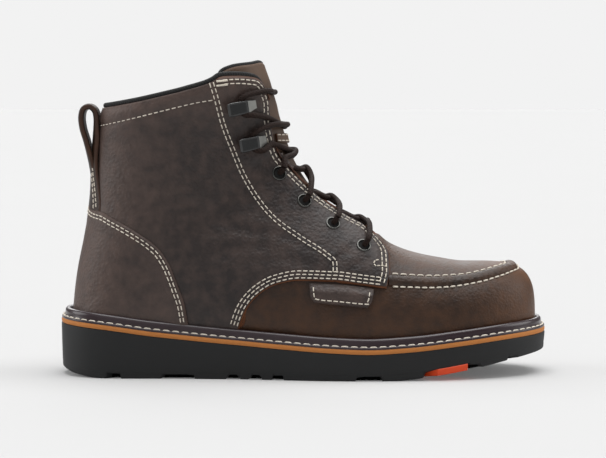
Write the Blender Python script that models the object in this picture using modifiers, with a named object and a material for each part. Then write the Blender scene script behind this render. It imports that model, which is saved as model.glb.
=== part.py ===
"""Lace-up work boot for the right foot, with a moc toe and a wedge sole.

The boot stands on the floor at z = 0 with its toe along +X and its inner side along +Y.
The origin lies under the middle of the sole. Sizes below are millimetres and the meshes are metres.
The upper is one smooth form: in the shaft and the instep its sections lie on lines that fan out
from one pivot above the ball of the foot, and in the vamp they are upright.
"""
import math

import bmesh
import bpy
import numpy as np
from mathutils import Matrix, Vector

MM = 0.001

# Sole outline.
SOLE_LENGTH = 307.0
HEEL_ROUND_START = -112.0
TOE_ROUND_START = 60.0
END_POWER = 2.3

# Layers, given as distance outwards from the upper's outer face.
WALL = 2.2
OVERLAY_GAP = 0.5
PANEL_GAP = 0.8
QUARTER_GAP = 0.7
QUARTER_FLARE = 0.6
QUARTER_THICK = 1.5
EYESTAY_GAP = 0.8
EYESTAY_THICK = 1.8
COUNTER_GAP = 0.7
COUNTER_THICK = 2.2
TAG_THICK = 1.5
TONGUE_OUTER = -3.3
TONGUE_SINK = 1.2
TONGUE_THICK = 3.6
TONGUE_FOOT = 1.10
KEEPER_THICK = 1.3
KEEPER_TOP = 36.4
KEEPER_FOOT = 41.0
KEEPER_HALF = 11.0

# Sole stack, given from the top of the midsole.
MIDSOLE_THICK = 3.0
SEAM_GAP = 0.3
UPPER_FOOT = 3.1
BEAD_CLEAR = 8.3
INSOLE_TOP = 6.6
INSOLE_INSET = 18.2

# Upper ends and insets from the sole outline.
PIVOT_X = 45.0
PIVOT_Z = 199.0
TOE_TIP = 147.3
HEEL_INSET = 9.4
FEATHER_INSET = 8.8
BULGE_INSET = 7.6
TOE_ARCH_START = 100.0
TOE_ARCH_POWER = 3.5
TOE_FOOT_SHARE = 0.86
CENTRE_STRAIGHT = 115.0
CENTRE_CURVED = 60.0

# Grid of the upper: station where shaft and instep meet, last station before the vamp, throat set-back.
SHAFT_FOOT = 0.34
INSTEP_FOOT = 0.985
THROAT_SETBACK = 1.6

# Top of the eyestay: section angle of its rear corner, and the step to the quarter.
STAY_CORNER = 15.0
STAY_STEP = 1.6

# Half width of the sole outline along the boot: x, half width.
PLAN = np.array([
    (-155.0, 40.0),
    (-100.0, 40.0),
    (-72.0, 38.8),
    (-45.0, 39.6),
    (-15.0, 45.5),
    (15.0, 51.8),
    (45.0, 55.0),
    (155.0, 55.0),
])

# Centre line of the foot in plan: x, y.
CENTRE = np.array([
    (-155.0, 0.0),
    (-100.0, -0.6),
    (-50.0, -4.0),
    (0.0, -3.0),
    (45.0, 0.0),
    (90.0, 3.2),
    (155.0, 9.0),
])

# Top of the midsole along the boot: x, z.
MIDSOLE_TOP = np.array([
    (-154.0, 35.8),
    (-124.0, 33.2),
    (-95.0, 29.3),
    (-64.0, 26.2),
    (-40.0, 24.1),
    (-15.0, 22.2),
    (19.0, 20.0),
    (40.0, 19.3),
    (65.0, 20.6),
    (99.0, 24.2),
    (125.0, 27.0),
    (154.0, 29.2),
])

# Bottom of the outsole along the boot: x, z.
SOLE_BOTTOM = np.array([
    (-154.0, 5.4),
    (-139.0, 1.4),
    (-125.0, 0.0),
    (-60.0, 0.0),
    (54.0, 0.0),
    (73.0, 1.8),
    (101.0, 6.0),
    (132.0, 12.0),
    (154.0, 15.6),
])

# Back of the upper: x, z.
BACK = np.array([
    (-124.3, 199.0),
    (-125.0, 170.5),
    (-127.0, 157.0),
    (-129.0, 134.0),
    (-133.2, 107.0),
    (-137.0, 87.0),
    (-140.6, 69.0),
    (-143.0, 52.0),
    (-144.0, 42.0),
    (-144.1, 28.0),
])

# Front of the shaft and the instep on the centre line: x, z.
FRONT = np.array([
    (-21.0, 199.0),
    (-15.6, 183.0),
    (-12.8, 173.5),
    (-10.6, 163.0),
    (-7.6, 147.0),
    (-0.5, 131.0),
    (11.5, 115.5),
    (25.0, 104.0),
    (37.0, 95.8),
    (45.0, 89.6),
])

# Crest of the vamp before the toe rounds over: x, z.
CREST = np.array([
    (45.0, 89.6),
    (54.0, 82.0),
    (66.6, 76.9),
    (84.4, 72.7),
    (102.0, 70.2),
    (125.0, 70.8),
    (148.0, 74.0),
])

# Sections on the fan: angle below level, half width, place of the widest point, back power, front power.
FAN = np.array([
    (0.0, 36.5, 0.50, 2.2, 2.2),
    (10.0, 36.0, 0.50, 2.2, 2.2),
    (20.0, 33.5, 0.47, 2.3, 2.2),
    (30.0, 32.5, 0.42, 2.4, 2.1),
    (40.0, 33.5, 0.36, 2.4, 2.0),
    (50.0, 34.0, 0.30, 2.4, 2.0),
    (62.0, 36.0, 0.26, 2.4, 2.0),
    (75.0, 41.5, 0.25, 2.4, 2.1),
    (90.0, 47.4, 0.25, 2.4, 2.3),
])

# Half of the throat gap on the fan: angle below level, half gap at the eyestay edge.
THROAT = np.array([
    (0.0, 25.0),
    (10.0, 24.0),
    (20.0, 19.8),
    (32.0, 17.8),
    (45.0, 15.2),
    (62.0, 14.2),
    (75.0, 15.6),
    (90.0, 16.5),
])

# Collar edge round one side: section angle from the back, angle below level.
COLLAR = np.array([
    (-90.0, 10.4),
    (-40.0, 10.6),
    (-10.0, 10.2),
    (8.0, 9.3),
    (14.0, 8.5),
    (20.0, 7.2),
    (30.0, 7.6),
    (48.0, 9.9),
    (58.0, 12.5),
    (90.0, 14.0),
])

# Upper edge of the tongue: section angle, angle below level.
TONGUE_TOP = np.array([
    (20.0, 6.0),
    (27.0, 4.0),
    (38.0, 2.9),
    (58.0, 2.3),
    (75.0, 1.6),
    (90.0, 0.8),
])

# Side edge of the tongue: angle below level, section angle.
TONGUE_SIDE = np.array([
    (0.0, 20.0),
    (40.0, 38.0),
    (75.0, 48.0),
    (100.0, 58.0),
])

# Stations along the vamp, closest where the form bends most: x.
VAMP_STATIONS = np.array((
    46.0, 49.5, 54.0, 60.0, 69.0, 81.0, 93.0, 105.0,
    116.0, 126.0, 134.0, 140.5, 144.6, 146.6, TOE_TIP,
))

# Panel edges drawn in side view: x, z.
COUNTER_FRONT = np.array([(-70.5, 35.4), (-72.8, 46.4), (-77.1, 57.5), (-82.7, 70.2)])
COUNTER_TOP = np.array([
    (-82.7, 70.2),
    (-88.4, 80.1),
    (-98.2, 88.5),
    (-112.3, 95.6),
    (-125.0, 101.4),
    (-136.0, 103.4),
])
WING_EDGE = np.array([
    (-39.6, 31.6),
    (-35.1, 43.7),
    (-27.1, 53.0),
    (-16.8, 58.6),
    (-3.1, 61.0),
    (19.2, 60.2),
])
WING_FRONT = np.array([(19.9, 60.2), (34.5, 58.2), (50.8, 56.1)])
EYESTAY_REAR = np.array([
    (19.2, 60.2),
    (18.9, 71.0),
    (14.6, 75.4),
    (-3.1, 86.6),
    (-17.9, 97.0),
    (-29.4, 109.5),
    (-38.6, 124.4),
    (-45.4, 141.5),
    (-51.1, 157.6),
    (-55.0, 173.6),
])
EYESTAY_NOSE = np.array([(50.8, 56.1), (53.2, 65.9), (53.0, 74.7)])
TAG_TOP = np.array([(3.4, 58.9), (22.0, 57.6), (43.0, 54.9)])
TAG_BOTTOM = np.array([(6.0, 48.8), (22.0, 46.8), (39.4, 45.2)])
MOC_LINE = np.array([
    (55.6, 61.2),
    (65.0, 60.5),
    (81.0, 59.8),
    (96.0, 60.4),
    (108.0, 62.0),
    (119.5, 64.6),
    (127.0, 66.4),
    (131.6, 67.4),
])

# Eyelets and hooks on each side, from the toe up: x, z.
EYELETS = np.array([(37.0, 80.6), (17.6, 94.0), (-0.6, 107.8), (-16.8, 125.0)])
HOOKS = np.array([(-35.2, 144.8), (-41.6, 167.4)])
EYELET_RING = 3.5
EYELET_WIRE = 0.95
FITTING_LIFT = 0.76

# Side view of a hook with a sloping neck in front, open to the rear: along, height over the eyestay.
HOOK_PROFILE = (
    (-6.0, 0.3),
    (8.6, 0.3),
    (8.6, 1.2),
    (3.4, 6.2),
    (-6.0, 6.2),
    (-9.2, 6.9),
    (-9.2, 5.8),
    (-6.0, 5.1),
    (2.8, 5.1),
    (6.2, 1.4),
    (-6.0, 1.4),
)
HOOK_WIDTH = 8.0
HOOK_TILT = 9.0

# Storm welt section: inset from the sole outline, height above the midsole.
WELT_PROFILE = (
    (0.3, 0.3),
    (0.3, 2.8),
    (2.4, 2.8),
    (2.9, 5.4),
    (3.9, 6.3),
    (5.1, 5.4),
    (5.5, 2.8),
    (20.0, 2.8),
    (20.0, 0.3),
)

# Cross grooves in the tread: x from, x to, depth.
GROOVES = (
    (-122.4, -114.0, 2.8),
    (-87.8, -68.0, 2.6),
    (-46.5, -40.0, 2.6),
    (-32.4, -26.6, 2.4),
    (-19.2, -13.0, 2.4),
    (32.4, 47.6, 2.6),
    (101.6, 109.0, 2.2),
    (127.0, 132.4, 2.0),
)
INSERT_FROM = 73.4
INSERT_TO = 101.2
INSERT_INSET = 13.0
INSERT_RISE = 4.6

# Strap of the pull loop in side view: x, z.
PULL_LOOP = np.array([
    (-137.2, 105.0),
    (-135.1, 118.0),
    (-132.8, 134.0),
    (-130.9, 152.0),
    (-130.6, 163.0),
    (-132.6, 168.0),
    (-136.4, 169.6),
    (-140.2, 167.6),
    (-141.7, 162.6),
    (-140.4, 155.0),
    (-137.8, 145.0),
    (-135.8, 137.0),
    (-135.6, 129.0),
])
STRAP_THICK = 1.6
STRAP_WIDTH = 20.0
BINDING_RADIUS = 2.1
BINDING_END = 13.0
LACE_RADIUS = 1.8
LACE_LIFT = 2.7
LACE_CLEAR = 1.0
LACE_CROSSING = 0.28
LACE_EDGE_INSET = 3.2
LACE_DIP_SHARE = 0.36
BACK_SEAM = -89.7
MOC_HALF_WIDTH = 3.4
MOC_HEIGHT = 2.3
MOC_PROFILE = ((-1.0, 0.25), (-0.7, 0.75), (0.0, 1.0), (0.7, 0.75), (1.0, 0.25), (0.0, 0.12))

# Tread edge: inset of the wearing face, inset and height of the bevel's top.
TREAD_INSET = 2.4
BEVEL_INSET = 0.9
BEVEL_HEIGHT = 2.4

# Half width and depth of the blocks that cut the tread.
BLOCK_REACH = 80.0
BLOCK_DEPTH = -10.0

# Faces that meet at less than this angle are shaded as one.
SMOOTH_ANGLE = 35.0

# Surface of each piece: node name or its first words, colour, roughness, metallic.
FINISHES = (
    ("outsole_insert", (0.55, 0.11, 0.03), 0.60, 0.0),
    ("outsole", (0.022, 0.022, 0.020), 0.65, 0.0),
    ("midsole", (0.45, 0.17, 0.06), 0.60, 0.0),
    ("welt", (0.070, 0.024, 0.016), 0.40, 0.0),
    ("insole", (0.32, 0.19, 0.10), 0.75, 0.0),
    ("collar_binding", (0.010, 0.010, 0.010), 0.60, 0.0),
    ("eyelet", (0.060, 0.055, 0.050), 0.35, 1.0),
    ("hook", (0.060, 0.055, 0.050), 0.35, 1.0),
    ("lace_keeper", (0.140, 0.070, 0.040), 0.60, 0.0),
    ("lace", (0.032, 0.020, 0.014), 0.80, 0.0),
    ("tongue", (0.120, 0.060, 0.034), 0.60, 0.0),
    ("", (0.070, 0.036, 0.023), 0.55, 0.0),
)


def through(at, knots, values):
    """Monotone cubic curve through the knots, level outside them."""
    at = np.clip(np.asarray(at, float), knots[0], knots[-1])
    step = np.diff(knots)
    slope = np.diff(values) / step
    rate = np.zeros(len(knots))
    rate[0] = slope[0]
    rate[-1] = slope[-1]
    for k in range(1, len(step)):
        if slope[k - 1] * slope[k] > 0.0:
            rate[k] = 2.0 / (1.0 / slope[k - 1] + 1.0 / slope[k])
    k = np.clip(np.searchsorted(knots, at, side="right") - 1, 0, len(step) - 1)
    t = (at - knots[k]) / step[k]
    start = values[k] * (1.0 + 2.0 * t) * (1.0 - t) ** 2 + step[k] * rate[k] * t * (1.0 - t) ** 2
    end = values[k + 1] * t ** 2 * (3.0 - 2.0 * t) + step[k] * rate[k + 1] * t ** 2 * (t - 1.0)
    return start + end


def column(at, table, index=1):
    """Value of one column of a table at the given places in its first column."""
    return through(at, table[:, 0], table[:, index])


def round_end(part, power):
    """Fall from 1 to 0 along a rounded end."""
    return (1.0 - np.clip(part, 0.0, 1.0) ** power) ** (1.0 / power)


def half_width(x, inset, heel_inset=None, toe_inset=None):
    """Half width of the sole outline at x, moved inwards by the insets of sides and ends."""
    heel_end = -0.5 * SOLE_LENGTH + (inset if heel_inset is None else heel_inset)
    toe_end = 0.5 * SOLE_LENGTH - (inset if toe_inset is None else toe_inset)
    heel = round_end((HEEL_ROUND_START - x) / (HEEL_ROUND_START - heel_end), END_POWER)
    toe = round_end((x - TOE_ROUND_START) / (toe_end - TOE_ROUND_START), END_POWER)
    return (column(x, PLAN) - inset) * heel * toe


def centre_shift():
    """Sideways shift that puts the widest places of the sole at equal distances."""
    x = np.linspace(-0.5 * SOLE_LENGTH, 0.5 * SOLE_LENGTH, 600)
    middle = column(x, CENTRE)
    width = half_width(x, 0.0)
    return -0.5 * ((middle + width).max() + (middle - width).min())


CENTRE[:, 1] += centre_shift()


def centre_line(x, z):
    """Centre of the boot at x: it follows the foot low down and runs straight in the shaft."""
    fade = np.clip((CENTRE_STRAIGHT - z) / (CENTRE_STRAIGHT - CENTRE_CURVED), 0.0, 1.0)
    return column(x, CENTRE) * fade * fade * (3.0 - 2.0 * fade)


def polar(table):
    """Angle below level and distance of a profile's points from the pivot."""
    angle = np.degrees(np.arctan2(PIVOT_Z - table[:, 1], PIVOT_X - table[:, 0]))
    reach = np.hypot(PIVOT_Z - table[:, 1], PIVOT_X - table[:, 0])
    return np.column_stack((angle, reach))


BACK_POLAR = polar(BACK)
FRONT_POLAR = polar(FRONT)


def section(sigma, grow):
    """Ends, half width and shape of the section at a station, grown outwards.

    Stations 0 to 1 sweep the fan from level to upright and stations 1 to 2 run along the vamp.
    """
    sigma = np.asarray(sigma, float)
    fan = sigma <= 1.0
    angle = 90.0 * np.minimum(sigma, 1.0)
    rad = np.radians(np.maximum(angle, 0.01))
    x_low = np.zeros_like(rad)
    for _ in range(7):
        reach_low = (PIVOT_Z - column(x_low, MIDSOLE_TOP) - UPPER_FOOT) / np.sin(rad)
        x_low = PIVOT_X - reach_low * np.cos(rad)
    reach_back = column(angle, BACK_POLAR) + grow
    reach = np.minimum(reach_low, reach_back)
    near = column(angle, FRONT_POLAR) - grow
    along = np.maximum(sigma - 1.0, 0.0)
    x_vamp = PIVOT_X + along * (TOE_TIP + grow - PIVOT_X)
    foot = column(x_vamp, MIDSOLE_TOP) + UPPER_FOOT
    arch = round_end((x_vamp - TOE_ARCH_START) / (TOE_TIP + grow - TOE_ARCH_START), TOE_ARCH_POWER)
    crest = foot + (column(x_vamp, CREST) + grow - foot) * arch
    x_start = np.where(fan, PIVOT_X - reach * np.cos(rad), x_vamp)
    z_start = np.where(fan, PIVOT_Z - reach * np.sin(rad), foot)
    x_end = np.where(fan, PIVOT_X - near * np.cos(rad), x_vamp)
    z_end = np.where(fan, PIVOT_Z - near * np.sin(rad), crest)
    x_plain = np.maximum(x_vamp - grow * along, PIVOT_X)
    wide = half_width(x_plain, BULGE_INSET, toe_inset=0.5 * SOLE_LENGTH - TOE_TIP)
    wide = np.where(fan, column(angle, FAN, 1) + grow, wide + grow * round_end(along, 4.0))
    widest = column(angle, FAN, 2)
    back_power = column(angle, FAN, 3)
    front_power = column(angle, FAN, 4)
    feather = half_width(x_start, FEATHER_INSET, HEEL_INSET)
    feather = np.where(feather > 0.0, feather + grow * np.minimum(feather / 10.0, 1.0), 0.0)
    feather = np.where(fan & (reach_back <= reach_low), 0.0, feather)
    feather = np.where(fan, feather, np.maximum(feather, TOE_FOOT_SHARE * wide))
    feather = np.minimum(feather, 0.999 * wide)
    cut = (1.0 - (feather / np.maximum(wide, 1e-6)) ** back_power) ** (1.0 / back_power)
    first = widest * (1.0 - cut)
    return x_start, z_start, x_end, z_end, wide, widest, back_power, front_power, feather, first


def form(sigma, theta, side, grow=0.0):
    """Points of the upper's form: station, angle round the section from back to front, side, growth."""
    sigma, theta, grow = np.broadcast_arrays(np.asarray(sigma, float), np.asarray(theta, float), grow)
    x0, z0, x1, z1, wide, widest, back, front, _, first = section(sigma, grow)
    sine = np.sin(np.radians(theta))
    cosine = np.maximum(np.cos(np.radians(theta)), 0.0)
    power = np.where(theta < 0.0, back, front)
    span = np.where(theta < 0.0, widest, 1.0 - widest)
    place = widest + span * np.sign(sine) * np.abs(sine) ** (2.0 / power)
    part = (place - first) / (1.0 - first)
    x = x0 + (x1 - x0) * part
    z = z0 + (z1 - z0) * part
    y = centre_line(x, z) + side * wide * cosine ** (2.0 / power)
    return np.stack((x, y, z), axis=-1)


def low_angle(sigma):
    """Section angle of the upper's lower edge: the back, then the feather line."""
    wide, back, feather = (section(sigma, 0.0)[k] for k in (4, 6, 8))
    return -np.degrees(np.arccos((feather / np.maximum(wide, 1e-6)) ** (0.5 * back)))


def angle_at_width(sigma, offset):
    """Section angle in front of the widest point at which the half width equals the offset."""
    wide, front = (section(sigma, 0.0)[k] for k in (4, 7))
    return np.degrees(np.arccos(np.clip(offset / np.maximum(wide, 1e-6), 0.0, 1.0) ** (0.5 * front)))


def locate(points):
    """Station and section angle of side-view points."""
    x = points[:, 0]
    z = points[:, 1]
    angle = np.degrees(np.arctan2(PIVOT_Z - z, PIVOT_X - x))
    sigma = np.where(x <= PIVOT_X, angle / 90.0, 1.0 + (x - PIVOT_X) / (TOE_TIP - PIVOT_X))
    x0, z0, x1, z1, _, widest, back, front, _, first = section(sigma, 0.0)
    run = (x1 - x0) ** 2 + (z1 - z0) ** 2
    part = ((x - x0) * (x1 - x0) + (z - z0) * (z1 - z0)) / run
    place = first + np.clip(part, 0.0, 1.0) * (1.0 - first)
    rear = place < widest
    share = np.where(rear, (widest - place) / widest, (place - widest) / (1.0 - widest))
    power = np.where(rear, back, front)
    theta = np.degrees(np.arcsin(np.clip(share, 0.0, 1.0) ** (0.5 * power)))
    return np.column_stack((sigma, np.where(rear, -theta, theta)))


def collar_station(theta):
    """Station of the collar edge at a section angle."""
    return column(theta, COLLAR) / 90.0


def unroll(sigma):
    """Sections laid flat on their own lines: widest point, direction, sampled angles, lengths round them."""
    theta = np.linspace(-90.0, 90.0, 121)
    spots = form(sigma[:, None], theta[None, :], -1.0)
    steps = np.linalg.norm(np.diff(spots, axis=1), axis=2)
    run = np.concatenate((np.zeros((len(sigma), 1)), np.cumsum(steps, axis=1)), axis=1)
    run -= run[:, 60:61]
    x0, z0, x1, z1 = section(sigma, 0.0)[:4]
    way = np.column_stack((x1 - x0, z1 - z0))
    way /= np.linalg.norm(way, axis=1)[:, None]
    return spots[:, 60][:, (0, 2)], way, theta, run


def flatten(places):
    """Flat position of stations and angles, true to length round each section."""
    widest, way, theta, run = unroll(places[:, 0])
    length = np.array([np.interp(t, theta, r) for t, r in zip(places[:, 1], run)])
    return widest + way * length[:, None]


def unflatten(flat):
    """Stations and angles of flat positions."""
    x = flat[:, 0]
    angle = np.degrees(np.arctan2(PIVOT_Z - flat[:, 1], PIVOT_X - x))
    sigma = np.where(x <= PIVOT_X, angle / 90.0, 1.0 + (x - PIVOT_X) / (TOE_TIP - PIVOT_X))
    widest, way, theta, run = unroll(sigma)
    length = ((flat - widest) * way).sum(axis=1)
    return np.column_stack((sigma, [np.interp(d, r, theta) for d, r in zip(length, run)]))


def resample(places, count):
    """Even steps along an edge given as stations and angles, as flat positions."""
    flat = flatten(np.asarray(places, float))
    run = np.concatenate(([0.0], np.cumsum(np.linalg.norm(np.diff(flat, axis=0), axis=1))))
    at = np.linspace(0.0, run[-1], count)
    return np.column_stack((through(at, run, flat[:, 0]), through(at, run, flat[:, 1])))


def blend_patch(low, high, rear, front):
    """Fill four flat edges with stations and angles: low and high run forwards, rear and front upwards."""
    a = np.linspace(0.0, 1.0, len(low))[:, None, None]
    b = np.linspace(0.0, 1.0, len(rear))[None, :, None]
    across = (1.0 - b) * low[:, None, :] + b * high[:, None, :]
    upright = (1.0 - a) * rear[None, :, :] + a * front[None, :, :]
    corners = (1.0 - a) * ((1.0 - b) * low[0] + b * high[0]) + a * ((1.0 - b) * low[-1] + b * high[-1])
    flat = across + upright - corners
    return unflatten(flat.reshape(-1, 2)).reshape(flat.shape)


def add_sheet(bm, points, flip):
    """Shape a primitive grid to an array of points, in millimetres."""
    rows, columns = points.shape[:2]
    made = bmesh.ops.create_grid(bm, x_segments=rows - 1, y_segments=columns - 1, size=1.0)["verts"]
    for vert in made:
        i = round((vert.co.x + 1.0) / 2.0 * (rows - 1))
        j = round((vert.co.y + 1.0) / 2.0 * (columns - 1))
        vert.co = Vector(points[i, j]) * MM
    if flip:
        faces = list({face for vert in made for face in vert.link_faces})
        bmesh.ops.reverse_faces(bm, faces=faces)


def place_mesh(name, bm):
    """Turn a bmesh into a named object in the scene."""
    mesh = bpy.data.meshes.new(name)
    bm.to_mesh(mesh)
    bm.free()
    item = bpy.data.objects.new(name, mesh)
    bpy.context.scene.collection.objects.link(item)
    return item


def shell(name, sheets, thickness, outwards):
    """Solid wall on open sheets, each given as points and a flip mark."""
    bm = bmesh.new()
    for points, flip in sheets:
        add_sheet(bm, points, flip)
    bmesh.ops.remove_doubles(bm, verts=bm.verts, dist=0.01 * MM)
    item = place_mesh(name, bm)
    wall = item.modifiers.new("Wall", "SOLIDIFY")
    wall.thickness = thickness * MM
    wall.offset = 1.0 if outwards else -1.0
    return item


def skin(name, rings, closed_path):
    """Solid skin over rings of points; an open path is capped, a closed one joins up."""
    bm = bmesh.new()
    loops = [[bm.verts.new(Vector(point) * MM) for point in ring] for ring in rings]
    pairs = list(zip(loops, loops[1:]))
    if closed_path:
        pairs.append((loops[-1], loops[0]))
    for one, two in pairs:
        for k in range(len(one)):
            after = (k + 1) % len(one)
            bm.faces.new((one[k], one[after], two[after], two[k]))
    if not closed_path:
        bm.faces.new(list(reversed(loops[0])))
        bm.faces.new(loops[-1])
    bmesh.ops.recalc_face_normals(bm, faces=bm.faces)
    return place_mesh(name, bm)


def outline(inset, steps):
    """Closed plan outline: heel end, outer side, toe end, inner side."""
    reach = 0.5 * SOLE_LENGTH - inset
    x = -reach * np.cos(np.linspace(0.0, math.pi, steps + 1))
    width = half_width(x, inset)
    middle = column(x, CENTRE)
    outer = np.column_stack((x, middle - width))
    inner = np.column_stack((x, middle + width))
    return np.concatenate((outer, inner[-2:0:-1]))


def plate(name, levels, steps=22):
    """Sole-shaped solid through levels given as inset and a height function of x."""
    bm = bmesh.new()
    loops = []
    for inset, height in levels:
        flat = outline(inset, steps)
        z = height(flat[:, 0])
        loops.append([bm.verts.new(Vector((x, y, top)) * MM) for (x, y), top in zip(flat, z)])
    count = 2 * steps
    for low, high in zip(loops, loops[1:]):
        for k in range(count):
            after = (k + 1) % count
            bm.faces.new((low[k], low[after], high[after], high[k]))
    for loop in (loops[0], loops[-1]):
        for k in range(steps):
            rung = [loop[k], loop[k + 1], loop[(count - k - 1) % count], loop[(count - k) % count]]
            bm.faces.new(list(dict.fromkeys(rung)))
    bmesh.ops.recalc_face_normals(bm, faces=bm.faces)
    return place_mesh(name, bm)


def sole_top(x):
    """Top of the outsole."""
    return column(x, MIDSOLE_TOP) - MIDSOLE_THICK - SEAM_GAP


def sole_bottom(x):
    """Bottom of the outsole with toe spring."""
    return column(x, SOLE_BOTTOM)


def make_sole_blank(name):
    """Outsole before its grooves are cut."""
    levels = (
        (TREAD_INSET, sole_bottom),
        (BEVEL_INSET, lambda x: sole_bottom(x) + BEVEL_HEIGHT),
        (0.0, sole_top),
    )
    return plate(name, levels, 26)


def make_box(name, low, high):
    """Rectangular helper block kept out of the finished part."""
    bm = bmesh.new()
    size = [(b - a) * MM for a, b in zip(low, high)]
    middle = [0.5 * (a + b) * MM for a, b in zip(low, high)]
    bmesh.ops.create_cube(bm, size=1.0, matrix=Matrix.Translation(middle) @ Matrix.Diagonal((*size, 1.0)))
    return hide(place_mesh(name, bm))


def hide(item):
    """Mark an object as a helper."""
    item.hide_render = True
    item.display_type = "WIRE"
    return item


def cut(item, operand, operation):
    """Add one exact boolean."""
    step = item.modifiers.new(operation.title(), "BOOLEAN")
    step.operation = operation
    step.solver = "EXACT"
    step.object = operand


def make_sole():
    """Outsole with cross grooves, its coloured insert, midsole, welt and insole."""
    sole = make_sole_blank("outsole")
    for number, (start, end, depth) in enumerate(GROOVES):
        top = float(sole_bottom(0.5 * (start + end))) + depth
        block = make_box(f"groove_{number}", (start, -BLOCK_REACH, BLOCK_DEPTH), (end, BLOCK_REACH, top))
        cut(sole, block, "DIFFERENCE")
    middle = 0.5 * (INSERT_FROM + INSERT_TO)
    edge = float(column(middle, CENTRE) - half_width(middle, 0.0))
    top = float(sole_bottom(middle)) + INSERT_RISE
    pocket = make_box(
        "insert_pocket",
        (INSERT_FROM, -BLOCK_REACH, BLOCK_DEPTH),
        (INSERT_TO, edge + INSERT_INSET, top),
    )
    cut(sole, pocket, "DIFFERENCE")
    insert = make_sole_blank("outsole_insert")
    gap = SEAM_GAP
    block = make_box(
        "insert_block",
        (INSERT_FROM + gap, -BLOCK_REACH, BLOCK_DEPTH),
        (INSERT_TO - gap, edge + INSERT_INSET - gap, top - gap),
    )
    cut(insert, block, "INTERSECT")
    under = (0.2, lambda x: column(x, MIDSOLE_TOP) - MIDSOLE_THICK)
    over = (0.2, lambda x: column(x, MIDSOLE_TOP))
    plate("midsole", (under, over))
    low = (INSOLE_INSET, lambda x: column(x, MIDSOLE_TOP) + UPPER_FOOT)
    high = (INSOLE_INSET, lambda x: column(x, MIDSOLE_TOP) + INSOLE_TOP)
    plate("insole", (low, high), 18)
    rings = []
    for inset, height in WELT_PROFILE:
        flat = outline(inset, 20)
        rings.append(np.column_stack((flat, column(flat[:, 0], MIDSOLE_TOP) + height)))
    skin("welt", np.array(rings).transpose(1, 0, 2), True)


def make_upper():
    """Hollow upper: a half grid of stations and section angles on each side, joined at back and vamp."""
    shaft = np.linspace(0.0, 1.0, 7)
    instep = np.linspace(SHAFT_FOOT, INSTEP_FOOT, 14)[1:]
    fixed = np.concatenate((instep, 1.0 + (VAMP_STATIONS - PIVOT_X) / (TOE_TIP - PIVOT_X)))
    around = np.linspace(0.0, 1.0, 12)
    low = low_angle(fixed)
    gap = column(90.0 * np.minimum(fixed, 1.0), THROAT) + THROAT_SETBACK
    high = np.where(fixed <= 1.0, angle_at_width(fixed, gap), 90.0)
    theta = low[:, None] + (high - low)[:, None] * around[None, :]
    sigma = np.repeat(fixed[:, None], len(around), axis=1)
    mouth = angle_at_width(SHAFT_FOOT, column(90.0 * SHAFT_FOOT, THROAT) + THROAT_SETBACK)
    top_theta = np.repeat((-90.0 + (mouth + 90.0) * around)[None, :], len(shaft) - 1, axis=0)
    rim = collar_station(top_theta[0])
    top_sigma = rim[None, :] + (SHAFT_FOOT - rim)[None, :] * shaft[:-1, None]
    hold_sigma = np.full((1, len(around)), SHAFT_FOOT)
    sigma = np.concatenate((top_sigma, hold_sigma, sigma))
    theta = np.concatenate((top_theta, top_theta[:1], theta))
    sheets = [(form(sigma, theta, side), side > 0.0) for side in (-1.0, 1.0)]
    shell("upper", sheets, WALL, False)


def bead_edge(start, end, count):
    """Side-view line just above the welt bead."""
    x = np.linspace(start, end, count)
    return np.column_stack((x, column(x, MIDSOLE_TOP) + BEAD_CLEAR))


def collar_edge(start, end, count):
    """Collar edge between two section angles."""
    theta = np.linspace(start, end, count)
    return np.column_stack((collar_station(theta), theta))


def back_edge(low, high, count, angle=-90.0):
    """Line up the back between two heights."""
    z = np.linspace(low, high, count)
    x = through(-z, -BACK[:, 1], BACK[:, 0]) - 1.0
    return np.column_stack((locate(np.column_stack((x, z)))[:, 0], np.full(count, angle)))


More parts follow.
